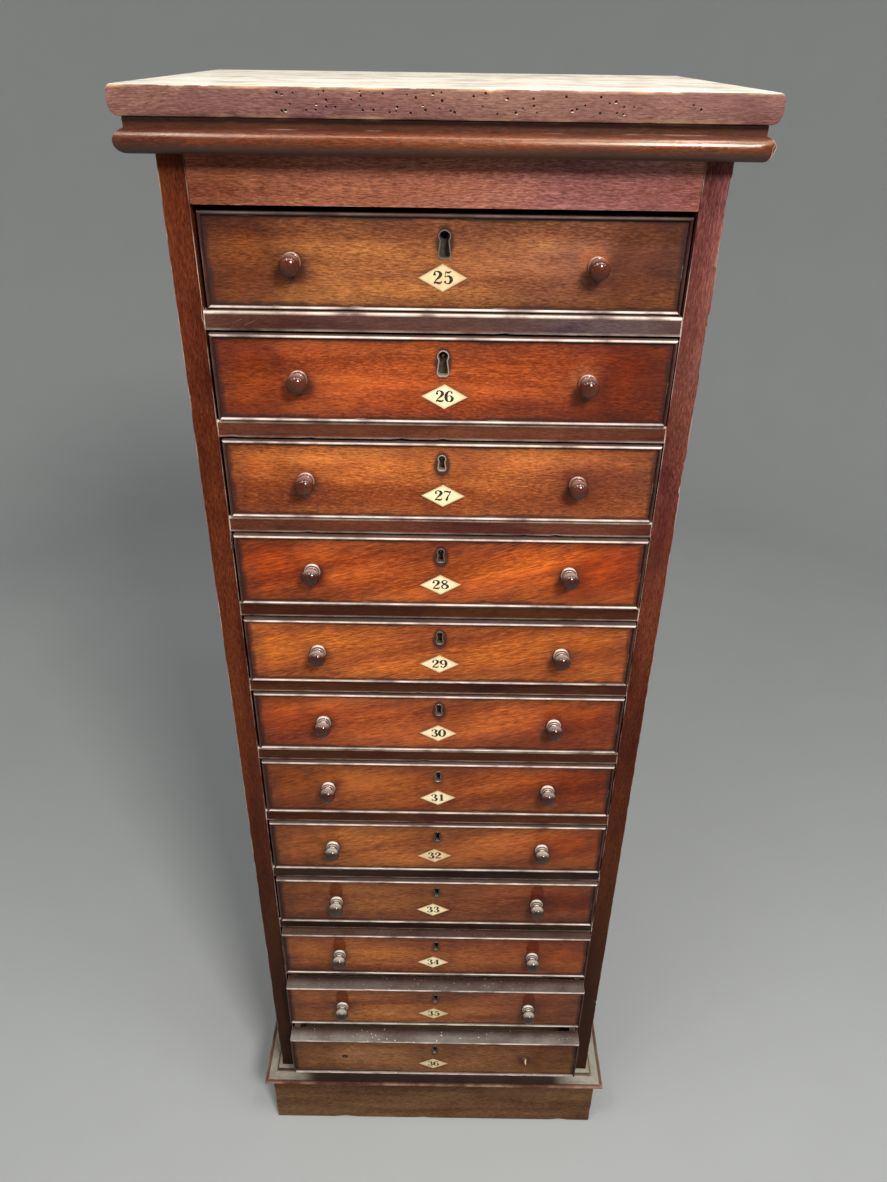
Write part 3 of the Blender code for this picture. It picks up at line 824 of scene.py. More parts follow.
cornice_finishes = run_finishes("cornice", (0.125, 0.027, 0.009), (0.2, 0.8, 0.3),
                                {"contrast": 0.6, "pores": 0.6, "gloss": 1.2, "wear": 0.5, "dust": 0.05,
                                 "extra_grime_and_shade": cornice_grime})
for finish in cornice_finishes:
    feed(finish.node_tree.nodes["Principled BSDF"].inputs,
         {"Specular IOR Level": 0.55, "Specular Tint": (1.0, 0.74, 0.55, 1), "Coat Weight": 0.22,
          "Coat Roughness": 0.14})


def cornice_section():
    """Section from the lower back corner, round the nose and up the fillet."""
    round_height = cornice_height - fillet_height
    points = [(0, 0, 0), (0.40 * torus_reach, 0.05 * round_height, 0)]
    centre = (0.62 * torus_reach, 0.53 * round_height)
    for step in range(13):
        angle = math.radians(-78 + 150 * step / 12)
        points.append((centre[0] + (torus_reach - centre[0]) * math.cos(angle),
                       centre[1] + 0.47 * round_height * math.sin(angle), 0.0))
    return points + [(fillet_reach + 0.0012, round_height - 0.0008, 0), (fillet_reach, round_height, 0),
                     (fillet_reach, cornice_height - 0.0022, 0), (fillet_reach, cornice_height - 0.0006, 0.4),
                     (fillet_reach - 0.0006, cornice_height, 0.3), (0, cornice_height, 0)]


def mitred_runs(section, foot, front_nicks=(), side_nicks=(), seed=0, spacing=0.006):
    """The front, left and right run of a moulding round the case, mitred where they meet."""
    start = half_case + touch_gap
    runs = [stock(section, 2 * start - 2 * mitre_slit,
                  along_front((mitre_slit - start, front_plane - touch_gap, foot)),
                  ends=(-1, 1), nicks=front_nicks, seed=seed, spacing=spacing)]
    length = case_back - front_plane + touch_gap - mitre_slit
    for _, sign in hands:
        origin = (sign * start, front_plane - touch_gap + mitre_slit, foot)
        runs.append(stock(section, length, axes((0, 1, 0), (sign, 0, 0), (0, 0, 1), origin), ends=(-1, 0),
                          nicks=side_nicks if sign > 0 else (), seed=seed + sign, spacing=spacing))
    return runs


def add_runs(name, runs, finishes):
    """The three pieces of a moulding."""
    return [add_stock(f"{name}_{part}", [run], finish)
            for part, run, finish in zip(("front", "left", "right"), runs, (*finishes, finishes[-1]))]


chip = (2 * half_case + torus_reach, torus_reach, 0.009, 0.010, 0.0045)
chip_side = (-torus_reach, *chip[1:])
cornice_runs = mitred_runs(cornice_section(), cornice_low.z, (chip,), (chip_side,), seed=3)
cornice = add_runs("cornice", cornice_runs, cornice_finishes)[0]
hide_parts("cornice_moulding")
print("cornice height", round(cornice_height, 4))

# %% [markdown]
# The top is a thick board with rounded ends. The section is swept along the board, and the last centimetre at each
# end is squeezed to the rounding of the end.

# %% Top board
top_low, top_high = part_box("top_board")
top_thickness = top_high.z - top_low.z
top_depth = top_high.y - top_low.y
top_length = top_high.x - top_low.x
top_upper_round = 0.0050
top_lower_round = 0.0085
top_finish = wood_finish("top_mahogany", (0.178, 0.083, 0.076), "X", (0.4, 0.6, 0.2), spread=0.45, contrast=0.6,
                         pores=0.7, gloss=0.12, wear=0.8, wear_radius=0.0001, bare=(0.60, 0.34, 0.19, 1), dust=1.35,
                         dust_tint=(0.68, 0.635, 0.54, 1), scratches=0.4, variety=0.35)


def round_top_end(point):
    """Bring a point of the swept board inside the rounding of its nearer end."""
    from_end = max(0.0, min(point.x, top_length - point.x))
    lower, upper = (radius - math.sqrt(radius ** 2 - max(0.0, radius - from_end) ** 2)
                    for radius in (top_lower_round, top_upper_round))
    return Vector((point.x, point.y, min(max(point.z, lower), top_thickness - upper)))


def top_section():
    """Section of the top board with a crowned front arris and a grid of points over its upper face."""
    eased = section_box(top_depth, top_thickness, 0.0014, (0.6, 1.0, 0.5, 0.2), 0.0030)
    front = [(top_depth, top_thickness * share, 0.0) for share in (0.25, 0.5, 0.75)]
    upper = [(top_depth * share, top_thickness, 0.0) for share in (0.9, 0.7, 0.5, 0.3, 0.1)]
    return eased[:5] + front + eased[5:10] + upper + eased[10:]


chips = ((0.004, top_depth, top_thickness, 0.012, 0.0022), (0.058, top_depth, top_thickness, 0.006, 0.0016),
         (top_length - 0.006, top_depth, top_thickness, 0.012, 0.0020), (0.10, top_depth, 0, 0.008, 0.0015),
         (0.31, top_depth, top_thickness, 0.004, 0.0010), (0.44, top_depth, 0, 0.006, 0.0012))
top_run = stock(top_section(), top_length, along_front((top_low.x, top_high.y, top_low.z)), nicks=chips, seed=11,
                spacing=0.0016, squeeze=round_top_end)
top_piece = add_stock("top_slab", [top_run], top_finish)
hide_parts("top_board")

# %% [markdown]
# Worms have been in the top: their exit holes pepper its front edge in loose clusters. Each cluster has a place
# along the board, a spread and a count, and a seeded draw puts the holes in it.

# %% Worm holes
worm_clusters = ((0.275, 0.012, 10), (0.315, 0.010, 7), (0.375, 0.008, 6), (0.415, 0.006, 3), (0.455, 0.022, 11),
                 (0.505, 0.010, 5), (0.575, 0.022, 9), (0.632, 0.004, 3), (0.690, 0.006, 5), (0.735, 0.014, 7),
                 (0.765, 0.006, 3), (0.870, 0.004, 2))
worm_depth = 0.004
worm_sides = 9
randoms = random.Random(5)
holes = []
taken = []
for share, spread, count in worm_clusters:
    for _ in range(count):
        x = top_low.x + top_length * share + randoms.gauss(0, spread * 0.6)
        z = top_low.z + top_thickness * randoms.uniform(0.15, 0.88)
        radius = randoms.choice((0.0008, 0.0009, 0.0011, 0.0012))
        if all((x - a) ** 2 + (z - b) ** 2 > (2.4 * (radius + r) / 2) ** 2 for a, b, r in taken):
            taken.append((x, z, radius))
            holes.append(cylinder((x, top_low.y - cutter_excess, z), radius, worm_depth, worm_sides))
cut(top_piece, holes)
print("worm holes", len(holes))

# %% [markdown]
# Pale crumbs of wood still hang on the lower lip of some holes. Each is a small pointed grain, longer than it is
# high, and all of them are one piece.

# %% Crumbs at the worm holes
crumb_sides = 5
crumb_finish, shader, place = new_finish("wood_crumbs")
blot = even_noise(place, 900.0)
feed(shader.inputs, {"Base Color": blend_colours(blot, (0.52, 0.36, 0.22, 1), (0.85, 0.72, 0.55, 1)),
                     "Roughness": ease(blot, 0.3, 0.7, 0.7, 0.95)})


def crumb_grain(x, z, half_length):
    """Points and faces of one grain that lies against the front of the top."""
    rings = []
    for share in (-1, -0.4, 0.4, 1):
        size = 0.38 * half_length * (1 - 0.75 * share * share)
        rings.append([(x + share * half_length, top_low.y - 0.0001 + out, z + up)
                      for up, out in circle(size, crumb_sides, randoms.uniform(0, 1))])
    return ring_shape(rings)


crumb_shapes = [crumb_grain(x + randoms.uniform(-1, 1) * radius, z - radius, randoms.uniform(0.6, 1.1) * radius)
                for x, z, radius in taken[::5]]
crumbs = mesh_object("worm_crumbs", *join_shapes(crumb_shapes))
finish_piece(crumbs, crumb_finish, "carcass")
print("crumbs", len(crumb_shapes))

# %% [markdown]
# The plinth is a skirting of three boards with a moulding on top. Knocks from feet and mops have rounded its
# corners and dulled its polish. The moulding's wide hollow collects dust.

# %% Plinth finishes
quirk_centres = (0.0215, 0.0072)
plinth_finishes = run_finishes("plinth", (0.165, 0.080, 0.040), (0.8, 0.3, 0.6),
                               {"contrast": 0.6, "pores": 0.7, "gloss": 0.2, "wear": 0.6, "dust": 0.3,
                                "scratches": 0.6, "variety": 0.5})


def reach_from_case(place, on_front):
    """How far a point of the front or a side run stands out from the case."""
    if on_front:
        return minus(front_plane, split(place)["Y"])
    return minus(from_middle(place), half_case)


def quirks(reach):
    """The two narrow hollows of the moulding: behind its nose and at the foot of its step."""
    return most(*(ease(calc("ABSOLUTE", minus(reach, centre)), 0.0018, 0.0006) for centre in quirk_centres))


def moulding_dust(on_front):
    """Dust lies between the quirks. On the front it lies only near the corners, leaving the middle under the lowest
    drawer dark as painted shadow.
    """
    def add_mask(place):
        reach = reach_from_case(place, on_front)
        lies = times(ease(reach, 0.0232, 0.0210), minus(1.0, times(quirks(reach), 0.75)))
        if not on_front:
            return lies
        return times(lies, ease(from_middle(place), half_opening - 0.034, half_opening - 0.002, 0.05, 1.0))
    return add_mask


def moulding_grime(on_front):
    """Dirt and painted shade in the quirks, and on the front painted shadow under the lowest drawer."""
    def add_mask(place):
        reach = reach_from_case(place, on_front)
        lines = times(quirks(reach), 0.8)
        if not on_front:
            return lines
        middle = ease(from_middle(place), half_opening + 0.002, half_opening - 0.030, 0.0, 0.88)
        return most(lines, times(middle, ease(reach, 0.0228, 0.0205)))
    return add_mask


moulding_looks = [{"contrast": 0.6, "pores": 0.5, "gloss": 0.3, "wear": 0.8, "bare": (0.46, 0.28, 0.20, 1),
                   "dust": 1.0, "dust_tint": (0.38, 0.36, 0.29, 1), "dust_where": moulding_dust(on_front),
                   "extra_grime_and_shade": moulding_grime(on_front)} for on_front in (True, False)]
moulding_finishes = run_finishes("moulding", (0.150, 0.062, 0.042), (0.6, 0.1, 0.8), *moulding_looks)

# %% [markdown]
# The boards and the moulding are swept in three runs each, like the cornice.

# %% Plinth boards and moulding
plinth_thickness = 0.0141
plinth_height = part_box("plinth_front")[1].z
moulding_low, moulding_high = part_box("plinth_moulding")
moulding_height = moulding_high.z - moulding_low.z
moulding_reach = 0.0252


def moulding_section():
    """A nose with a rounded underside, a wide hollow above it, and a small step against the case."""
    shares = [(0, 0, 0), (0.50, 0, 0), (0.62, 0.03, 0), (0.72, 0.09, 0), (0.81, 0.19, 0), (0.88, 0.31, 0),
              (0.95, 0.41, 0.2), (1.0, 0.46, 0.7), (1.01, 0.54, 1), (1.0, 0.61, 0.9), (0.96, 0.62, 0.4),
              (0.82, 0.615, 0), (0.68, 0.625, 0), (0.55, 0.645, 0), (0.44, 0.68, 0), (0.35, 0.72, 0),
              (0.29, 0.76, 0), (0.25, 0.80, 0.1), (0.24, 0.90, 0.3), (0.22, 0.94, 0.4), (0.17, 0.97, 0.1),
              (0, 1.0, 0)]
    return [(moulding_reach * out, moulding_height * up, edge) for out, up, edge in shares]


plinth_section = section_box(plinth_thickness, plinth_height, 0.0022, (1, 0.7, 0.1, 0.1))
plinth_nicks = [(x, plinth_thickness, 0, reach, depth)
                for x, reach, depth in ((0.10, 0.02, 0.003), (0.46, 0.015, 0.003), (0.23, 0.012, 0.002))]
plinth_runs = mitred_runs(plinth_section, 0, plinth_nicks, seed=21, spacing=0.008)
skirting = add_runs("skirting", plinth_runs, plinth_finishes)
for board, part in zip(skirting, ("front", "left", "right")):
    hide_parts(f"plinth_{part}")
moulding_runs = mitred_runs(moulding_section(), moulding_low.z, seed=31)
base_moulding = add_runs("base_moulding", moulding_runs, moulding_finishes)[0]
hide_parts("plinth_moulding")
print("plinth height", round(plinth_height, 4))

# %% [markdown]
# A keyhole's brass lining is a thin ring of its outline: a round head over a flared slot with round corners. The
# outline is drawn once as points and used three times: to cut the hole, as the outside of the lining, and moved
# inwards for its inside.

# %% Keyhole outline
key_radii = {number: 0.0059 if number < 27 else 0.0045 for number in numbers}
key_head_drop = 0.0129
lining_wall = 0.0012
lining_depth = 0.0085


def keyhole_outline(radius, inward=0.0):
    """Points (x, z) about the centre of the head; inward moves the whole outline towards its inside."""
    length = 3.4 if radius > 0.005 else 3.0
    drop, neck, foot, corner = length * radius, 0.77 * radius, 1.04 * radius, 0.72 * radius
    neck_angle = math.asin(neck / radius)
    points = []
    for step in range(21):
        angle = -math.pi / 2 + neck_angle + (2 * math.pi - 2 * neck_angle) * step / 20
        points.append(Vector((radius * math.cos(angle), radius * math.sin(angle))))
    for side, first in ((-1, 180), (1, 270)):
        for step in range(6):
            angle = math.radians(first + 90 * step / 5)
            points.append(Vector((side * (foot - corner) + corner * math.cos(angle),
                                  corner - drop + corner * math.sin(angle))))
    moved = []
    for k, point in enumerate(points):
        before, after = points[k - 1], points[(k + 1) % len(points)]
        tangent = (after - before).normalized()
        moved.append(point + Vector((-tangent.y, tangent.x)) * inward)
    return moved


def key_ring(radius, inward, y):
    """The keyhole outline laid in the drawer front's plane at depth y, in the drawer's own coordinates."""
    centre = front_head - key_head_drop - radius
    return [(point.x, y, centre + point.y) for point in keyhole_outline(radius, inward)]


print("outline points", len(keyhole_outline(0.005)))

# %% [markdown]
# A drawer front is a board with a rebate round its face for the bead. Its ends are cut with sockets for the
# dovetails of the drawer sides, and it is bored for the keyhole and the knobs. One outline of the tails serves for
# the sides and, a little larger, for their sockets.

# %% Sizes and joints of a drawer
tray_side = 0.0095
tray_relief = 0.0006
tray_head = front_head - front_lift - 0.0160
tray_lap = 0.0060
tray_bottom_lift = 0.0060
tray_bottom_thickness = 0.0050
tray_floor = tray_bottom_lift + tray_bottom_thickness
tray_back_drop = 0.0060
back_head = tray_head - tray_back_drop
back_face = tray_end - tray_side
knob_x = half_front - 0.0815
knob_z = front_lift + 0.500 * (front_head - front_lift)
shank_radius = 0.0045
rebate_depth = 0.0090
half_tray = half_front - tray_relief
tail_slope = 0.0017
half_pin = 0.0022
front_tails = 3
back_tails = 2
bead_gap = 0.0001
keyhole_gap = 0.00005
keyhole_end = 0.022
bore_length = 0.023
bore_sides = 24


def rectangle(half, foot, head, y):
    """The four corners of an upright rectangle across the drawer."""
    return [(-half, y, foot), (half, y, foot), (half, y, head), (-half, y, head)]


def slab(half, foot, head, front, back):
    """Points and faces of a plain board across the drawer."""
    return ring_shape([rectangle(half, foot, head, y) for y in (front, back)])


def tail_points(wide_y, root_y, foot, head, count, spread=0.0):
    """Outline (y, z) of each of a row of dovetails, from the lowest up; spread makes them larger, for sockets."""
    pitch = (head - foot) / count
    points = []
    for k in range(count):
        low, high = foot + k * pitch + half_pin, foot + (k + 1) * pitch - half_pin
        points.append([(root_y, low + tail_slope - spread), (wide_y, low - spread), (wide_y, high + spread),
                       (root_y, high - tail_slope + spread)])
    return points


def side_outline():
    """Outline (y, z) of a drawer side with its tails at the front and the back."""
    points = [(front_thickness, 0)]
    for tail in tail_points(tray_lap, front_thickness, 0, tray_head, front_tails):
        points += tail
    points += [(front_thickness, tray_head), (back_face, tray_head)]
    for tail in reversed(tail_points(tray_end, back_face, tray_floor, back_head, back_tails)):
        points += reversed(tail)
    return points + [(back_face, 0)]


def sockets(spread=0.0001):
    """Shapes that cut the sockets for all tails of both sides: two for each tail, those of the front first."""
    front = tail_points(tray_lap - spread, front_thickness + cutter_excess, 0, tray_head, front_tails, spread)
    back = tail_points(tray_end + cutter_excess, back_face - cutter_excess, tray_floor, back_head, back_tails, spread)
    inner, outer = half_tray - tray_side - spread, half_front + cutter_excess
    return [prism(tail, *ends) for tail in front + back for ends in ((inner, outer), (-outer, -inner))]


# %% [markdown]
# The front board is built from four rectangles joined one behind the other, then the sockets and holes are cut out
# of it. Both sides of the tray are the same outline, extended across the drawer.

# %% Front board and tray sides
def front_board(name, key_radius, left_bore=shank_radius):
    """The board of a drawer front, ready cut."""
    half = half_front - bead_width - bead_gap
    foot = front_lift + bead_width + bead_gap
    head = front_head - bead_width - bead_gap
    board = mesh_object(name, *ring_shape([rectangle(half, foot, head, 0), rectangle(half, foot, head, rebate_depth),
                                           rectangle(half_front, front_lift, head, rebate_depth),
                                           rectangle(half_front, front_lift, head, front_thickness)]), smooth=False)
    key_hole = ring_shape([key_ring(key_radius, -keyhole_gap, y) for y in (-cutter_excess, keyhole_end)])
    bores = [cylinder((side * knob_x, -cutter_excess, knob_z), radius, bore_length, bore_sides)
             for side, radius in ((-1, left_bore), (1, shank_radius))]
    cut(board, sockets()[:2 * front_tails] + [key_hole] + bores)
    return board


tray_sides = [prism(side_outline(), -half_tray, tray_side - half_tray),
              prism(side_outline(), half_tray - tray_side, half_tray)]
print("tails a side", front_tails + back_tails)

# %% [markdown]
# The cock bead is four strips with a rounded nose, let into the rebate and mitred at the corners. The top strip
# is as deep as the front is thick, so it is what you see from above when a drawer is out. Years of pulling have
# worn the crest of the nose down to bare wood, and the edge attribute carries that. The pale line is also a painted
# highlight: it leans to the upper side of the nose, is strong on the top and bottom strips, and is faint on the
# uprights and on the top drawer's top strip, which lies in shade under the frieze.

# %% Cock bead
def bead_section(depth, lean, rubbed):
    """Section of a strip: u runs inwards over the front, v outwards from its face. Each point has its wear.

    lean is the angle of the worn line on the nose, which is also a painted highlight, from 180 at the outer side
    to 0 at the inner one.
    """
    radius = bead_width / 2
    points = [(0, -depth, 0), (0, bead_proud - radius, 0)]
    for step in range(1, 12):
        angle = math.pi - math.pi * step / 12
        worn = max(0.0, math.cos(angle - math.radians(lean))) ** 3.6
        points.append((radius + radius * math.cos(angle), bead_proud - radius + radius * math.sin(angle),
                       rubbed * worn))
    points += [(bead_width, bead_proud - radius, 0), (bead_width, -depth, 0)]
    return points


def bead_strips(number, place):
    """The four strips of one drawer's bead, laid in the model's coordinates."""
    randoms = random.Random(100 + number)
    slit = 0.00008
    width, foot, head = half_front - slit, front_lift + slit, front_head - slit
    shallow = rebate_depth - 0.0001
    strips = []
    # The last number of each strip sets its worn crest and painted highlight; it is faint on the uprights and on
    # drawer 25's top.
    for along, inwards, origin, length, depth, lean, rubbed in (
            ((1, 0, 0), (0, 0, -1), (-width, 0, head), 2 * width, front_thickness, 118, 0.12 if number == 25 else 1.0),
            ((-1, 0, 0), (0, 0, 1), (width, 0, foot), 2 * width, shallow, 62, 1.0),
            ((0, 0, 1), (1, 0, 0), (-width, 0, foot), head - foot, shallow, 150, 0.16),
            ((0, 0, -1), (-1, 0, 0), (width, 0, head), head - foot, shallow, 150, 0.08)):
        placing = axes(along, inwards, (0, -1, 0), place + Vector(origin))
        nicks = [(randoms.uniform(0, length), bead_width / 2, bead_proud, randoms.uniform(0.0015, 0.004),
                  randoms.uniform(0.0003, 0.0008)) for _ in range(round(length / 0.055))]
        strips.append(stock(bead_section(depth, lean, rubbed), length, placing, ends=(1, -1), nicks=nicks,
                            seed=number, spacing=0.006, wobble=0.0002))
    return strips


print("bead section points", len(bead_section(0.009, 90, 1)))

# %% [markdown]
# Numbers in a fat-faced printing type: thick uprights, hairline joins, ball ends. Each figure is a few pen strokes
# through points (x, y, half width) in a box one unit high, smoothed with a spline and filled as a ribbon, plus the
# balls. The nine is the six turned over.

# %% Strokes of the figures
figure_strokes = {
    "0": [[(.31, .99, .03), (.13, .85, .07), (.06, .5, .095), (.13, .15, .07), (.31, .01, .03), (.49, .15, .07),
           (.56, .5, .095), (.49, .85, .07), (.31, .99, .03)]],
    "1": [[(.32, .98, .085), (.32, .03, .085)], [(.12, .02, .024), (.52, .02, .024)],
          [(.13, .80, .02), (.30, .93, .04)]],
    "2": [[(.07, .76, .03), (.13, .92, .04), (.28, .985, .035), (.46, .90, .07), (.52, .73, .09), (.43, .54, .075),
           (.25, .34, .04), (.10, .14, .025), (.04, .03, .02)],
          [(.05, .05, .045), (.20, .09, .055), (.38, .06, .07), (.52, .07, .05), (.58, .22, .018)]],
    "3": [[(.08, .82, .025), (.16, .95, .035), (.29, .985, .03), (.45, .90, .07), (.47, .72, .08), (.30, .54, .03)],
          [(.30, .54, .03), (.48, .44, .07), (.54, .25, .09), (.44, .05, .06), (.26, .01, .03), (.09, .10, .025)]],
    "4": [[(.42, .98, .035), (.20, .58, .03), (.03, .30, .03)], [(.02, .28, .032), (.60, .28, .032)],
          [(.42, .98, .08), (.42, .03, .08)], [(.26, .02, .022), (.58, .02, .022)]],
    "5": [[(.15, .97, .02), (.30, .90, .055), (.44, .92, .05), (.55, 1.0, .02)],
          [(.15, .96, .02), (.12, .52, .02)],
          [(.12, .52, .022), (.26, .61, .035), (.42, .59, .06), (.54, .42, .09), (.54, .24, .09), (.43, .05, .055),
           (.27, .01, .03), (.10, .09, .025)]],
    "6": [[(.50, .86, .02), (.42, .97, .03), (.28, .96, .04), (.12, .76, .075), (.07, .45, .09), (.14, .14, .07),
           (.31, .01, .03), (.48, .12, .07), (.54, .31, .085), (.46, .50, .055), (.31, .57, .025), (.17, .47, .02)]],
    "7": [[(.05, .74, .015), (.07, .97, .025)], [(.07, .90, .05), (.24, .93, .06), (.42, .87, .06), (.58, .94, .04)],
          [(.58, .94, .025), (.45, .64, .03), (.32, .34, .05), (.26, .08, .085)]],
    "8": [[(.31, .55, .05), (.14, .68, .06), (.13, .86, .055), (.31, .98, .028), (.49, .86, .04), (.47, .70, .04),
           (.31, .55, .06), (.51, .40, .08), (.54, .18, .075), (.31, .01, .03), (.09, .16, .05), (.12, .40, .045),
           (.31, .55, .05)]],
}
figure_balls = {"2": [(.11, .74, .10)], "3": [(.12, .80, .09), (.13, .15, .09)], "5": [(.13, .15, .09)],
                "6": [(.48, .84, .08)], "7": [(.25, .05, .09)]}
figure_middle = (0.31, 0.46)
pen_weight = 1.32
ball_sides = 16


def turned_over(points):
    """A figure's points turned half a turn about the middle of its box."""
    return [(0.61 - x, 1 - y, size) for x, y, size in points]


figure_strokes["9"] = [turned_over(stroke) for stroke in figure_strokes["6"]]
figure_balls["9"] = turned_over(figure_balls["6"])


def spline_points(stroke, steps=5):
    """More points along a stroke, on a smooth curve through the given ones."""
    if len(stroke) < 3:
        return [Vector(point) for point in stroke]
    closed = stroke[0] == stroke[-1]
    line = [Vector(point) for point in (stroke[:-1] if closed else stroke)]
    count = len(line)
    result = []
    for k in range(count if closed else count - 1):
        if closed:
            a, b, c, d = (line[(k + j - 1) % count] for j in range(4))
        else:
            b, c = line[k], line[k + 1]
            a = line[k - 1] if k else 2 * b - c
            d = line[k + 2] if k + 2 < count else 2 * c - b
        for step in range(steps):
            t = step / steps
            result.append(0.5 * (2 * b + (c - a) * t + (2 * a - 5 * b + 4 * c - d) * t ** 2
                                 + (3 * b - a - 3 * c + d) * t ** 3))
    result.append(line[0] if closed else line[-1])
    return result


def ribbon(stroke, layer):
    """Points and faces of a flat ribbon along a stroke."""
    line = spline_points(stroke)
    vertices = []
    for k, point in enumerate(line):
        before, after = line[max(0, k - 1)], line[min(len(line) - 1, k + 1)]
        if stroke[0] == stroke[-1] and k in (0, len(line) - 1):
            before, after = line[-2], line[1]
        run = Vector((after.x - before.x, after.y - before.y)).normalized()
        for side in (-1, 1):
            half = point.z * pen_weight
            vertices.append((point.x - side * run.y * half, point.y + side * run.x * half, layer))
    return vertices, [(2 * k, 2 * k + 1, 2 * k + 3, 2 * k + 2) for k in range(len(line) - 1)]


def ball(x, y, radius, layer):
    """Points and face of a round ball end."""
    return [(x + across, y + up, layer) for across, up in circle(radius, ball_sides)], [tuple(range(ball_sides))]


print("figures", len(figure_strokes))

# %% [markdown]
# A label is a lozenge of thick cream paper, pasted on and gone a little wavy. The paper is a grid of points with
# both faces, and the ink is a second thin layer just over it. Old paste and handling have browned its rim.

# %% Paper and ink
def label_paper(name, fresh, stained):
    """Cream paper with stains and a brown rim."""
    material, shader, place = new_finish(name)
    blot = even_noise(place, 90.0, 5.0)
    colour = blend_colours(ease(blot, 0.35, 0.75), fresh, stained)
    rim = add_node("Attribute", tree=material.node_tree, attribute_name="edge")["Fac"]
    colour = blend_colours(ease(rim, 0.80, 1.0, 0.0, 0.7), colour, (0.40, 0.25, 0.11, 1))
    pulp = even_noise(place, 1500.0, 3.0)
    colour = blend_colours(ease(pulp, 0.4, 0.7, 0.0, 0.25), colour, (0.72, 0.56, 0.32, 1))
    feed(shader.inputs, {"Base Color": colour, "Roughness": ease(blot, 0.3, 0.8, 0.55, 0.85),
                         "Normal": add_node("Bump", {"Height": pulp, "Distance": 0.00005})[0]})
    return material


paper_finish = label_paper("paper_label", (0.91, 0.80, 0.51, 1), (0.80, 0.62, 0.34, 1))
brown_paper_finish = label_paper("paper_label_browned", (0.74, 0.58, 0.32, 1), (0.60, 0.42, 0.21, 1))
browned_labels = (25, 32, 35, 36)

ink_finish, shader, place = new_finish("printing_ink")
rubbed_ink = even_noise(place, 700.0, 4.0)
feed(shader.inputs, {"Base Color": blend_colours(ease(rubbed_ink, 0.55, 0.75, 0.0, 0.5), (0.012, 0.010, 0.008, 1),
                                                 (0.24, 0.16, 0.08, 1)),
                     "Roughness": ease(rubbed_ink, 0.3, 0.8, 0.4, 0.7)})

# %% [markdown]
# The two figures of a number are set side by side on the paper and follow its waves. Each label has its own place
# and a slight turn of its own.

# %% Label pieces
label_half_width = 0.0225
label_half_height = 0.0124
label_thickness = 0.00016
label_cells = 12
paste_thickness = 0.00002
figure_height = 0.0112
figure_width = 0.0134
figure_spread = 0.0047
label_shifts = dict(zip(numbers, (-0.0014, 0.0017, 0.0015, 0, 0, -0.0005, 0, -0.0036, -0.0050, -0.0040, -0.0025,
                                  -0.0020)))
label_heights = {number: 0.0310 if number == 25 else 0.0277 for number in numbers}


def paper_wave(x, z, number):
    """How far the paper has lifted off the wood at a point."""
    lift = noise.noise(Vector((x * 60, z * 60, number * 3.1)))
    return 0.0001 + 0.00012 * (lift + 0.6)


def label_sheet(number):
    """Points, faces and rim values of the lozenge, front and back."""
    size = label_cells + 1
    vertices, rim_values, faces = [], [], []
    for is_front in (True, False):
        for i in range(size):
            for j in range(size):
                a, b = 2 * i / label_cells - 1, 2 * j / label_cells - 1
                x, z = label_half_width * (a + b) / 2, label_half_height * (a - b) / 2
                lift = paper_wave(x, z, number) + label_thickness if is_front else paste_thickness
                vertices.append((x, -lift, z))
                rim_values.append(max(abs(a), abs(b)))
    for layer in (0, 1):
        for i in range(label_cells):
            for j in range(label_cells):
                k = layer * size * size + i * size + j
                faces.append((k, k + 1, k + size + 1, k + size))
    border = [i * size for i in range(size)] + [label_cells * size + j for j in range(1, size)]
    border += [i * size + label_cells for i in range(label_cells - 1, -1, -1)] + list(range(label_cells - 1, 0, -1))
    for index, after in zip(border, border[1:] + border[:1]):
        faces.append((index, after, after + size * size, index + size * size))
    return vertices, faces, rim_values


def figure_shapes(number):
    """The two figures of a number as thin solids over the paper."""
    shapes = []
    for index, mark in enumerate(str(number)):
        middle = (index - 0.5) * 2 * figure_spread
        strokes = [ribbon(stroke, 0.00002 + 0.000004 * k) for k, stroke in enumerate(figure_strokes[mark])]
        strokes += [ball(x, y, size, 0.00004) for x, y, size in figure_balls.get(mark, ())]
        for vertices, faces in strokes:
            placed = []
            for x, y, layer in vertices:
                across = middle + (x - figure_middle[0]) * figure_width
                up = (y - figure_middle[1]) * figure_height
                placed.append((across, -paper_wave(across, up, number) - label_thickness - layer, up))
            shapes.append((placed, faces))
    return shapes


def add_label(number, place):
    """One label with its printed number."""
    sheet_vertices, sheet_faces, rim_values = label_sheet(number)
    ink_vertices, ink_faces = join_shapes(figure_shapes(number))
    shape = join_shapes([(sheet_vertices, sheet_faces), (ink_vertices, ink_faces)])
    label = mesh_object(f"label_{number}", *shape, smooth=False)
    label.data.materials.append(brown_paper_finish if number in browned_labels else paper_finish)
    label.data.materials.append(ink_finish)
    for face in label.data.polygons:
        face.material_index = 0 if face.index < len(sheet_faces) else 1
    set_edges(label, rim_values + [0.0] * len(ink_vertices))
    label.location = place + Vector((label_shifts[number], 0, label_heights[number]))
    label.rotation_euler = (0, random.Random(number).uniform(-0.03, 0.03), 0)
    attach(label, f"drawer_{number}_box")


print("labels", len(label_shifts))

# %% [markdown]
# Old brass has a brown skin and shines only where it is touched. The lock behind the keyhole is iron with a
# brown-black skin; its pin shows in the round head of the smaller keyholes.

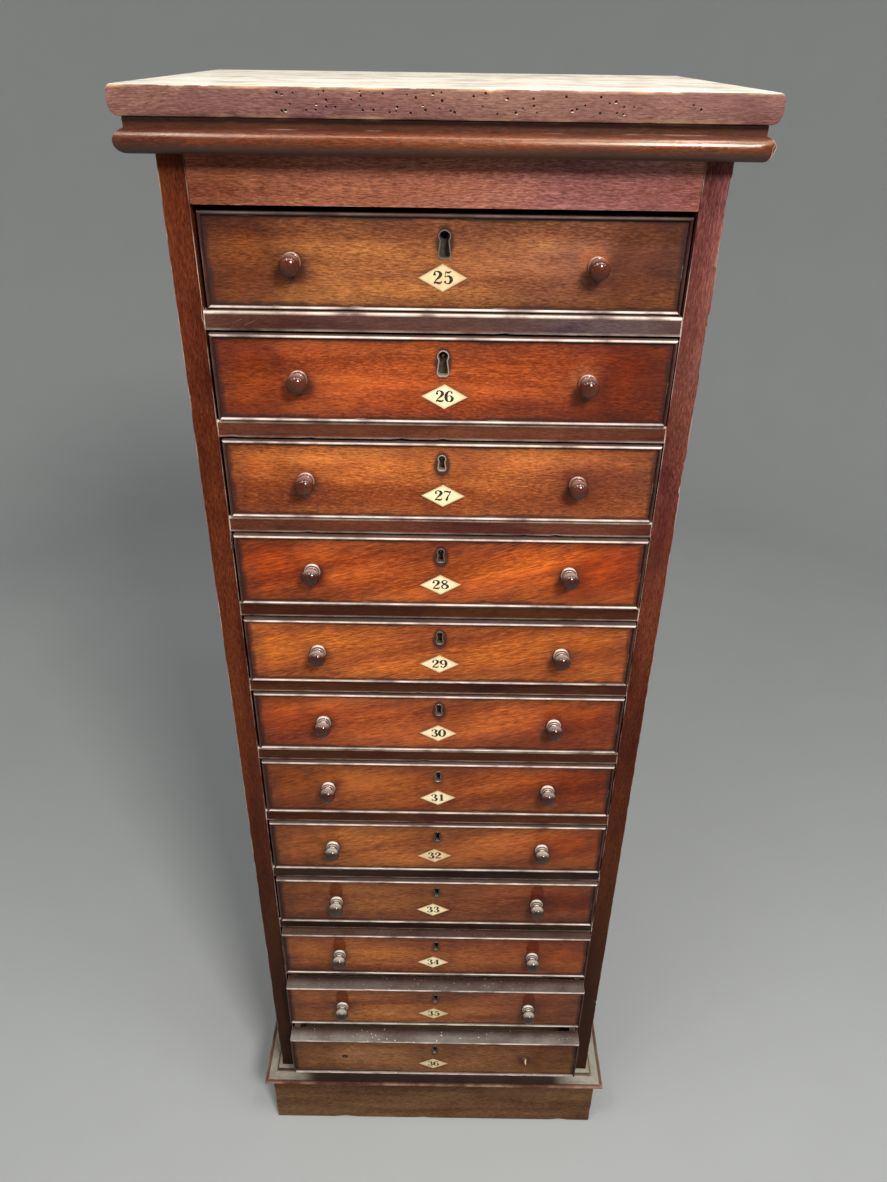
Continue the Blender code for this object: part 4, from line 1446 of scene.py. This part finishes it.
# %% Metal finishes
def metal_finish(name, skin, shine, wear, roughness, metallic=0.85):
    """A metal whose dark skin is rubbed through on its edges."""
    material, shader, place = new_finish(name)
    stain = even_noise(place, 260.0, 5.0)
    rubbed = use_group(wear_group, {"Vector": place, "Radius": 0.0005, "Patches": 400.0, "Amount": wear})["Mask"]
    colour = blend_colours(ease(stain, 0.3, 0.7), (*skin, 1), dimmed(skin, 0.6))
    rough = blend_values(rubbed, ease(stain, 0.2, 0.8, roughness, roughness + 0.25), 0.28)
    feed(shader.inputs, {"Base Color": blend_colours(rubbed, colour, (*shine, 1)), "Roughness": rough,
                         "Metallic": metallic,
                         "Normal": add_node("Bump", {"Height": stain, "Distance": 0.00008})[0]})
    return material


brass_finish = metal_finish("aged_brass", (0.26, 0.215, 0.15), (0.85, 0.76, 0.58), 1.0, 0.42)
bright_brass_finish = metal_finish("bright_brass", (0.62, 0.53, 0.40), (0.95, 0.88, 0.74), 1.5, 0.42)
dark_brass_finish = metal_finish("dark_brass", (0.14, 0.11, 0.085), (0.60, 0.52, 0.40), 0.6, 0.45)
iron_finish = metal_finish("lock_iron", (0.060, 0.044, 0.031), (0.20, 0.17, 0.13), 0.5, 0.5, 0.2)
print("metals", brass_finish.name, bright_brass_finish.name, dark_brass_finish.name, iron_finish.name)

# %% [markdown]
# Drawer woods differ from drawer to drawer, as they do in the photograph: the top one is a dull golden brown, the
# second a strong red, the next ones orange-brown, and the lower ones darker and redder towards the dull lowest one.
# Each gets its own pair of tones, its own pull of grain, and dirt inside its bead and round its fittings.

# %% Drawer front finishes
golden, red, orange, chestnut, dull = ((0.340, 0.106, 0.040), (0.405, 0.077, 0.021), (0.515, 0.124, 0.027),
                                       (0.285, 0.086, 0.033), (0.255, 0.107, 0.043))
tone_shares = {25: 0.82, 26: 0.88, 27: 1.00, 28: 0.88, 29: 0.98, 30: 0.94, 31: 0.70, 32: 0.84, 33: 0.78, 34: 0.92,
               35: 1.0, 36: 1.08}


def mixed(first, second, share):
    """A tone between two others."""
    return tuple(a + (b - a) * share for a, b in zip(first, second))


front_tones = {25: golden, 26: red, 27: mixed(orange, golden, 0.3), 28: mixed(orange, red, 0.65),
               29: orange, 30: mixed(red, chestnut, 0.35), 31: mixed(mixed(orange, chestnut, 0.5), red, 0.4),
               32: mixed(orange, chestnut, 0.7), 33: chestnut, 34: mixed(orange, chestnut, 0.8),
               35: mixed(orange, dull, 0.65), 36: dull}
front_pores = {25: 0.6, 26: 0.3, 27: 0.9}
# Darker polish, used at the drawers' ends and as painted shadow below the knobs.
old_polish_and_shadow = (0.42, 0.28, 0.20, 1)
worn_middle = (0.55, 0.50, 0.62, 1)
# A darker red, laid above the knobs of some lower drawers.
red_above_knobs = (0.50, 0.26, 0.07, 1)
end_shades = {25: 0.68, 26: 0.66, 27: 0.28, 28: 0.50, 29: 0.08, 30: 0.42, 31: 0.50, 32: 0.36, 33: 0.32, 34: 0.36,
              35: 0.32, 36: 0.45}
# Each spot is how far from the middle of the drawer it lies, its polish and its strength; the cool ones are a
# painted sheen.
front_spots = {25: ((-0.085, golden_polish, 0.75), (0.185, plum_polish, 0.6), (0.165, painted_cool_sheen, 0.8)),
               26: ((-0.080, golden_polish, 0.5), (0.170, plum_polish, 0.7)),
               27: ((-0.050, golden_polish, 0.5), (0.140, plum_polish, 0.85), (0.200, painted_cool_sheen, 0.6)),
               28: ((-0.200, fiery_polish, 0.7), (-0.100, golden_polish, 0.4), (0.085, golden_polish, 0.5),
                    (0.200, fiery_polish, 0.8)),
               30: ((-0.200, fiery_polish, 0.6), (-0.090, golden_polish, 0.4), (0.205, fiery_polish, 0.5)),
               31: ((-0.080, golden_polish, 0.4), (0.060, golden_polish, 0.6), (0.200, fiery_polish, 0.9)),
               32: ((-0.100, golden_polish, 0.4), (0.205, fiery_polish, 0.9)),
               33: ((-0.110, golden_polish, 0.3), (0.110, plum_polish, 0.5), (0.212, fiery_polish, 1.0)),
               34: ((-0.100, golden_polish, 0.3), (0.120, plum_polish, 0.6), (0.212, fiery_polish, 0.7)),
               35: ((-0.060, golden_polish, 0.2), (0.110, plum_polish, 0.6), (0.190, plum_polish, 0.3)),
               36: ((-0.200, painted_cool_sheen, 0.3), (-0.030, plum_polish, 0.1), (0.120, plum_polish, 0.6))}
# Each mark beside a knob is its drawer, the knob's side, how far across and up from the knob, polish and strength.
# The marks below the knobs are painted shadow; the others are darker polish.
knob_marks_and_shadows = ((25, -1, 0.006, -0.009, old_polish_and_shadow, 0.9), (26, -1, 0.006, -0.009, old_polish_and_shadow, 0.9),
              (26, 1, 0.006, -0.009, old_polish_and_shadow, 0.4), (27, 1, -0.006, 0.008, old_polish_and_shadow, 0.4),
              (28, -1, 0.004, -0.009, old_polish_and_shadow, 1.0), (28, 1, 0.006, -0.008, old_polish_and_shadow, 0.8),
              (30, -1, 0.000, 0.010, red_above_knobs, 0.3), (30, 1, 0.000, 0.010, red_above_knobs, 0.65),
              (31, -1, 0.010, 0.009, old_polish_and_shadow, 0.6), (34, -1, -0.004, 0.009, old_polish_and_shadow, 0.6))
# The grain of some fronts climbs to the right; it is given in degrees.
front_slopes = {28: 15, 29: 12, 30: 14, 31: 15, 32: 14, 33: 4, 35: 3}

# %% [markdown]
# A narrow dark line of dirt and a wide faint one lie inside the bead, and rings of it round the knobs, the keyhole and
# the label. Both lines are partly painted shade under the bead, and the rings round the knobs sit low, partly as
# painted shadow. Each front gets it over its own wood.

# %% Dirt, painted shade and finish of each front
def front_grime(number):
    """The dirt and painted shade on one drawer front, as a function that adds its nodes to a material."""
    panel = {"Half Width": half_front - bead_width, "Foot": front_lift + bead_width, "Head": front_head - bead_width}
    has_knobs, is_upper = number < 36, number < 31
    # The rings round the knobs sit a little low: dirt, and painted shadow below the knobs.
    knobs = spot(knob_x, knob_z - 0.004, 0.0095 if has_knobs else 0.0050, 0.0075, mirrored=float(has_knobs))
    key = spot(0.0, front_head - 0.024, 0.0130 if is_upper else 0.0105, 0.0034, flatness=0.55)
    label = spot(label_shifts[number], label_heights[number], 0.0085, 0.0022, flatness=1.9)

    def add_mask(place):
        border, shade = (use_group(border_group, {"Vector": place, **panel, "Reach": reach})["Mask"]
                         for reach in (0.0062, 0.030))
        masks = [times(border, 0.86), times(halo(place, knobs), 0.72), times(shade, 0.34),
                 times(halo(place, key), 0.85 if is_upper else 0.5)]
        if not has_knobs:
            masks.append(times(halo(place, spot(-knob_x, knob_z, 0.0034, 0.0008)), 0.95))
        return most(*masks, times(halo(place, label), 0.5))
    return add_mask


front_finishes = {}
for number in numbers:
    randoms = random.Random(number * 3)
    spots = front_spots.get(number, ((randoms.uniform(-0.16, -0.06), golden_polish, 0.45),
                                     (randoms.uniform(0.08, 0.18), plum_polish, 0.35)))
    patches = [(spot(x, 0.05, 0.012, 0.02, flatness=3.5), polish, amount) for x, polish, amount in spots]
    patches.append((spot(0.190, 0.04, 0.050, 0.014, flatness=0.7, mirrored=1.0), old_polish_and_shadow, end_shades[number]))
    if number > 26:
        patches.append((spot(0.0, 0.05, 0.028, 0.014), worn_middle, 0.45))
    # A darker red strip above each knob of the lower drawers.
    if 31 < number < 36:
        patches.append((spot(knob_x, knob_z + 0.020, 0.0185, 0.0018, flatness=0.46, mirrored=1.0), red_above_knobs,
                        0.85 if number > 32 else 0.35))
    patches += [(spot(sign * knob_x + across, knob_z + up, 0.006, 0.005), polish, amount)
                for drawer, sign, across, up, polish, amount in knob_marks_and_shadows if drawer == number]
    scuffs = [(spot(knob_x - 0.004, knob_z + 0.005, 0.0105, 0.0035), 0.5)] if number < 27 else []
    offset = tuple(randoms.uniform(-3, 3) for _ in range(3))
    tone = tuple(tone_shares[number] * value for value in front_tones[number])
    front_finishes[number] = wood_finish(f"drawer_mahogany_{number}", tone, "X", offset,
                                         pores=front_pores.get(number, 0.4), gloss=0.8 if number < 36 else 0.35,
                                         wear=0.3, variety=0.6 if number < 36 else 0.3,
                                         extra_grime_and_shade=front_grime(number), patches=patches, scuffs=scuffs,
                                         slope=front_slopes.get(number, 0),
                                         stretch=1.0 if number < 28 else 0.5 if number < 33 else 0.7)
print("front finishes", len(front_finishes))

# %% [markdown]
# The beads are of a darker wood with a worn crest, whose pale colour is also a painted highlight. The three lowest
# drawers stand out furthest, so dust and crumbs lie on the flat tops of their beads. The trays behind the fronts are
# plain.

# %% Bead and tray finishes
bead_dust = {34: (0.14, 0.1), 35: (0.50, 0.35), 36: (0.88, 1.0)}


def bead_wood(name, **more):
    """The finish of beads."""
    return wood_finish(name, (0.048, 0.017, 0.013), "X", (0.2, 0.3, 0.9), spread=0.4, pores=0.3, gloss=0.45,
                       wear=1.3, wear_radius=0.0002, bare=(0.84, 0.68, 0.59, 1), **more)


def towards_face(number):
    """Where dust lies on a bead's flat top: little at the back, under the rail above, leaving it dark there as painted
    shade, and all of it in front.
    """
    def add_mask(place):
        face = drawer_places[number].y
        return ease(split(place)["Y"], face + 0.019, face + 0.002, 0.12, 1.0)
    return add_mask


def round_middle(place):
    """Where crumbs lie on a bead's flat top: most round the middle."""
    return ease(from_middle(place), 0.14, 0.05, 0.3, 1.0)


bead_finish = bead_wood("bead_mahogany")
bead_finishes = {number: bead_wood(f"bead_mahogany_{number}", dust=dust, specks=specks,
                                   dust_where=towards_face(number), specks_where=round_middle)
                 for number, (dust, specks) in bead_dust.items()}
tray_finish = wood_finish("drawer_mahogany", (0.12, 0.065, 0.038), "Y", (0.3, 0.9, 0.4), spread=0.35, gloss=0.1,
                          wear=0.1)
floor_finish = wood_finish("drawer_pine", (0.17, 0.105, 0.058), "X", (0.2, 0.5, 0.7), spread=0.3, pores=0.1,
                           gloss=0.05, wear=0.1)
print("bead finishes", 1 + len(bead_finishes))

# %% [markdown]
# Now each drawer goes together: board, bead, tray, bottom, brass lining, lock and label. The two top drawers have
# the larger keyhole. The board's mesh is cut once for each kind and shared.

# %% Assemble the drawers
broken_bore = 0.0024
lock_half_width = 0.0300
lock_height = 0.0400
lock_front = 0.0092
lock_back = 0.0206
pin_radius = 0.0013
lip_height = 0.0005
lip_start = 0.0002
bottom_half = half_tray - tray_side + 0.0035
pattern_large = front_board("front_pattern_large", key_radii[25])
pattern_small = front_board("front_pattern_small", key_radii[27])
pattern_last = front_board("front_pattern_last", key_radii[36], broken_bore)


def add_shape(name, shapes, material, body, place, smooth=True):
    """A piece in a drawer's own coordinates, put at the drawer's place."""
    piece = mesh_object(name, *join_shapes(shapes), smooth=smooth)
    piece.location = place
    return finish_piece(piece, material, body)


def lining_shape(radius):
    """The brass lining: a band with a rounded lip that stands a hair proud of the wood."""
    section = ((0.0, lining_depth), (0.0, -lip_start), (0.00022, -lip_height), (lining_wall - 0.0002, -lip_height),
               (lining_wall, -lip_start), (lining_wall, lining_depth))
    return ring_shape([key_ring(radius, inward, y) for inward, y in section], loop=True)


def cut_shape(shape, cutters):
    """Points and faces of a shape once the cutters are taken out of it."""
    blank = mesh_object("blank", *shape, smooth=False)
    cut(blank, cutters)
    result = [tuple(v.co) for v in blank.data.vertices], [tuple(face.vertices) for face in blank.data.polygons]
    bpy.data.objects.remove(blank)
    return result


def lock_shapes(radius, with_pin):
    """The lock's case let into the back of the front, bored for the key, and the pin for the key's barrel."""
    top = front_head - bead_width - 0.0004
    head = front_head - key_head_drop - radius
    case = cut_shape(slab(lock_half_width, top - lock_height, top, lock_front, lock_back),
                     [cylinder((0, 0.0085, head), 0.62 * radius, 0.0080, 20)])
    return [case, cylinder((0, 0.0030, head), pin_radius, 0.0134, 16)] if with_pin else [case]


drawer_back = cut_shape(slab(half_tray, tray_floor, back_head, back_face, tray_end), sockets()[2 * front_tails:])
drawer_floor = slab(bottom_half, tray_bottom_lift, tray_floor, front_thickness - 0.003, tray_end - 0.001)
for number in numbers:
    body = f"drawer_{number}_box"
    place = drawer_places[number]
    pattern = pattern_last if number == 36 else pattern_large if number < 27 else pattern_small
    front = add_object(f"front_{number}", pattern.data.copy())
    front.location = place
    finish_piece(front, front_finishes[number], body)
    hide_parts(f"drawer_{number}")
    add_stock(f"cock_bead_{number}", bead_strips(number, place), bead_finishes.get(number, bead_finish),
              body)
    add_shape(f"tray_{number}", tray_sides + [drawer_back], tray_finish, body, place, False)
    add_shape(f"tray_bottom_{number}", [drawer_floor], floor_finish, body, place, False)
    radius = key_radii[number]
    # Drawer 25's lining keeps the darker aged brass, partly as painted shade where it sits back under the frieze.
    brass = dark_brass_finish if number > 31 else bright_brass_finish if number in (26, 27) else brass_finish
    add_shape(f"key_lining_{number}", [lining_shape(radius)], brass, body, place)
    add_shape(f"lock_{number}", lock_shapes(radius, number > 25), iron_finish, body, place)
    add_label(number, place)
for pattern in (pattern_large, pattern_small, pattern_last):
    bpy.data.objects.remove(pattern)
print("drawers", len(drawer_places))

# %% [markdown]
# A knob is turned in one piece: a flattened ball on a neck, a ring and a flange that seats on the front, and a shank
# in its hole. The turner's section is drawn as points and spun about its axis. No two were turned quite alike, so
# each is rotated by its own angle, and the finish is darkest, with dirt and painted shade, in the hollow of the neck.

# %% Knob shape
knob_radius = 0.0098
knob_half_length = 0.0081
neck_radius = 0.0047
neck_height = 0.0080
shank_length = 0.0170
knob_sides = 40
on_axis = 1e-7
ball_height = neck_height + knob_half_length * math.cos(math.asin(neck_radius / knob_radius))


def knob_section():
    """(radius, height, wear) from the tip of the ball to the end of the shank; wear on the flange and ring crests is
    also a painted highlight.
    """
    lowest = math.pi - math.asin(neck_radius / knob_radius)
    points = []
    for step in range(23):
        angle = lowest * step / 22
        points.append((knob_radius * math.sin(angle), ball_height + knob_half_length * math.cos(angle), 0.0))
    points += [(0.0046, 0.0074, 0), (0.0046, 0.0068, 0), (0.0048, 0.0062, 0), (0.0052, 0.0057, 0),
               (0.0058, 0.0054, 0.1), (0.0066, 0.0052, 0.4), (0.0070, 0.0048, 0.7), (0.0070, 0.0043, 0.3),
               (0.0066, 0.0039, 0), (0.0067, 0.0036, 0), (0.0074, 0.0034, 0.2), (0.0083, 0.0031, 0.6),
               (0.0088, 0.0026, 0.9), (0.0089, 0.0018, 0.4), (0.0089, 0.0006, 0), (0.0087, 0.0, 0), (0.0045, 0.0, 0),
               (0.0045, -shank_length, 0), (0.0, -shank_length, 0)]
    return points


def spin(section, sides=knob_sides):
    """Turn a section of (radius, height) about an axis that points out of the front, towards -Y."""
    vertices, rings, faces = [], [], []
    for radius, height, *_ in section:
        if radius < on_axis:
            rings.append([len(vertices)] * sides)
            vertices.append((0, -height, 0))
        else:
            rings.append(list(range(len(vertices), len(vertices) + sides)))
            vertices += [(x, -height, z) for x, z in circle(radius, sides)]
    for upper, lower in zip(rings, rings[1:]):
        for k in range(sides):
            corners = (upper[k], upper[(k + 1) % sides], lower[(k + 1) % sides], lower[k])
            faces.append(tuple(dict.fromkeys(corners)))
    return vertices, faces


knob_points = knob_section()
knob_shape = spin(knob_points)
knob_wear = [wear for radius, _, wear in knob_points for _ in range(1 if radius < on_axis else knob_sides)]
print("knob points", len(knob_shape[0]))

# %% [markdown]
# Hands keep a knob's ball clean and glossy, while dirt and painted shade stay in its grooves and dust lies on what
# faces up. That pale dust on the tops of flange, ring and ball is also a painted sheen, and the pale wear on their
# crests a painted highlight. The knobs are brighter on the upper drawers and dustier, with more painted sheen, on
# the lower ones.

# %% Knob finishes
# Each groove is how far out its middle lies and how far the dirt reaches from there.
knob_grooves = ((0.0037, 0.0010), (0.0078, 0.0020))


def neck_grime(place):
    """Dirt and painted shade in the two grooves, between flange and ring and under the ball."""
    out = times(split(place)["Y"], -1)
    return most(*(ease(calc("ABSOLUTE", minus(out, middle)), wide, 0.0002, 0.0, 0.95)
                  for middle, wide in knob_grooves))


def knob_dust(ball_share):
    """Dust and painted sheen lie on what faces up. On the ball, which hands keep clean, they keep to the side of the
    neck.
    """
    def add_mask(place):
        up = split(add_node("NewGeometry", tree=place.id_data)["Normal"])["Z"]
        out = times(split(place)["Y"], -1)
        on_ball = times(ease(up, 0.05, 0.75), ease(out, 0.0212, 0.0130, 0.0, ball_share))
        lies = blend_values(ease(out, 0.0080, 0.0095), ease(up, 0.30, 0.80), on_ball)
        return times(lies, minus(1.0, neck_grime(place)))
    return add_mask


def knob_finish(name, tone, dust, ball_share, dust_tint, bare):
    """A knob's finish: much handled, so it has the hardest gloss on the chest."""
    material = wood_finish(name, tone, "Y", (0.1, 0.2, 0.3), pores=0.3, gloss=0.1, wear=1.2, wear_radius=0.0002,
                           bare=bare, dust=dust, dust_tint=dust_tint, extra_grime_and_shade=neck_grime,
                           dust_where=knob_dust(ball_share))
    feed(material.node_tree.nodes["Principled BSDF"].inputs, {"Coat Weight": 0.85, "Coat Roughness": 0.11})
    return material


bright_knob = knob_finish("knob_mahogany_bright", (0.075, 0.015, 0.006), 0.95, 0.45, (0.70, 0.46, 0.39, 1),
                          (0.42, 0.20, 0.14, 1))
middle_knob = knob_finish("knob_mahogany_middle", (0.042, 0.009, 0.005), 1.3, 0.42, (0.88, 0.71, 0.62, 1),
                          (0.62, 0.44, 0.36, 1))
dusty_sheened_knob = knob_finish("knob_mahogany_dust_and_sheen", (0.034, 0.017, 0.012), 1.3, 0.72, (0.74, 0.66, 0.55, 1),
                         (0.62, 0.50, 0.40, 1))
for number in numbers[:-1]:
    finish = bright_knob if number < 28 else middle_knob if number < 32 else dusty_sheened_knob
    for hand, sign in hands:
        knob = mesh_object(f"turned_knob_{number}_{hand}", *knob_shape)
        knob.rotation_euler = (0, random.Random(2 * number + sign).uniform(0, 6.28), 0)
        knob.location = drawer_places[number] + Vector((sign * knob_x, -touch_gap, knob_z))
        set_edges(knob, knob_wear)
        finish_piece(knob, finish, f"drawer_{number}_box")
        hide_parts(f"knob_{number}_{hand}")
print("knobs", 2 * len(numbers[:-1]))

# %% [markdown]
# The lowest drawer's right knob has snapped off. The end in its hole is dark with dirt, and one pale splinter stands
# out from it. The end's top rings are pushed in and out by seeded steps, and the splinter is a thin tapering prism.

# %% Broken knob
stub_sides = 20
splinter_x = 0.0012
stub_finish = wood_finish("stub_mahogany", (0.10, 0.045, 0.026), "Y", (0.4, 0.7, 0.2), pores=0.3, gloss=0.05,
                          wear=0.2, dust=0.1, wear_radius=0.0003)
splinter_finish = wood_finish("splinter_mahogany", (0.62, 0.46, 0.30), "Z", (0.4, 0.7, 0.2), pores=0.2,
                              gloss=0.05, wear=0.0, dust=0.0, variety=0.2)


def stub_shape():
    """A shank that ends in splinters."""
    section = [(0.0, 0.0030), (0.0015, 0.0034), (0.0030, 0.0026), (0.0042, 0.0016), (0.0044, 0.0002),
               (0.0044, -shank_length), (0.0, -shank_length)]
    vertices, faces = spin(section, stub_sides)
    randoms = random.Random(9)
    return [(x, y - (randoms.uniform(-0.0016, 0.0030) if y < -0.0010 else 0), z) for x, y, z in vertices], faces


stub = mesh_object("broken_shank_36", *stub_shape(), smooth=False)
stub.location = drawer_places[36] + Vector((knob_x, -touch_gap, knob_z))
finish_piece(stub, stub_finish, "drawer_36_box")
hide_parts("knob_stub_36")

# Each ring of the splinter is how far out it is, its height, its half width and its half thickness.
splinter_steps = ((0.0004, 0.0016, 0.0021, 0.0012), (0.0024, 0.0017, 0.0019, 0.0010),
                  (0.0050, 0.0013, 0.0013, 0.0008), (0.0080, 0.0008, 0.0010, 0.0006),
                  (0.0095, 0.0006, 0.0004, 0.0003))
splinter_rings = [[(splinter_x - half, -out, height - thick), (splinter_x + half, -out, height - thick),
                   (splinter_x + 0.7 * half, -out, height + thick), (splinter_x - half, -out, height + thick)]
                  for out, height, half, thick in splinter_steps]
add_shape("stub_splinter_36", [ring_shape(splinter_rings)], splinter_finish, "drawer_36_box",
          stub.location, smooth=False)
print("stub", stub.name)

# %% [markdown]
# Soft studio light: a key light from the front right and above, whose shadow falls to the left as in the
# photograph, a broad one overhead that draws the bright lines along the beads, four tubes on the ceiling that give
# the bright streaks on the knobs, and an even grey world to fill.

# %% Lights and world
def add_light(name, place, target, size, power, colour):
    """A rectangular area light aimed at a point."""
    data = bpy.data.lights.new(name, "AREA")
    data.shape = "RECTANGLE"
    data.size, data.size_y = size
    data.energy = power
    data.color = colour
    light = add_object(name, data)
    light.location = place
    light.rotation_euler = (Vector(target) - Vector(place)).to_track_quat("-Z", "Y").to_euler()


add_light("key", (0.75, -1.9, 2.75), (0, -0.1, 0.95), (0.55, 0.55), 64, (1.0, 0.97, 0.93))
add_light("overhead", (0.1, -0.9, 3.1), (0, -0.2, 0.9), (3.0, 0.35), 26, (1.0, 0.98, 0.95))
for index, across in enumerate((-1.9, -0.65, 0.60, 1.85)):
    add_light(f"tube_{index}", (across, -1.0, 3.0), (across, -1.0, 0.0), (0.14, 1.3), 11, (1.0, 0.98, 0.96))
world = bpy.data.worlds.new("world")
world.use_nodes = True
feed(world.node_tree.nodes["Background"].inputs, {"Color": (0.93, 0.96, 1.0, 1), "Strength": 0.16})
bpy.context.scene.world = world
bpy.context.scene.view_settings.view_transform = "Standard"
print("lights", len(bpy.data.lights))
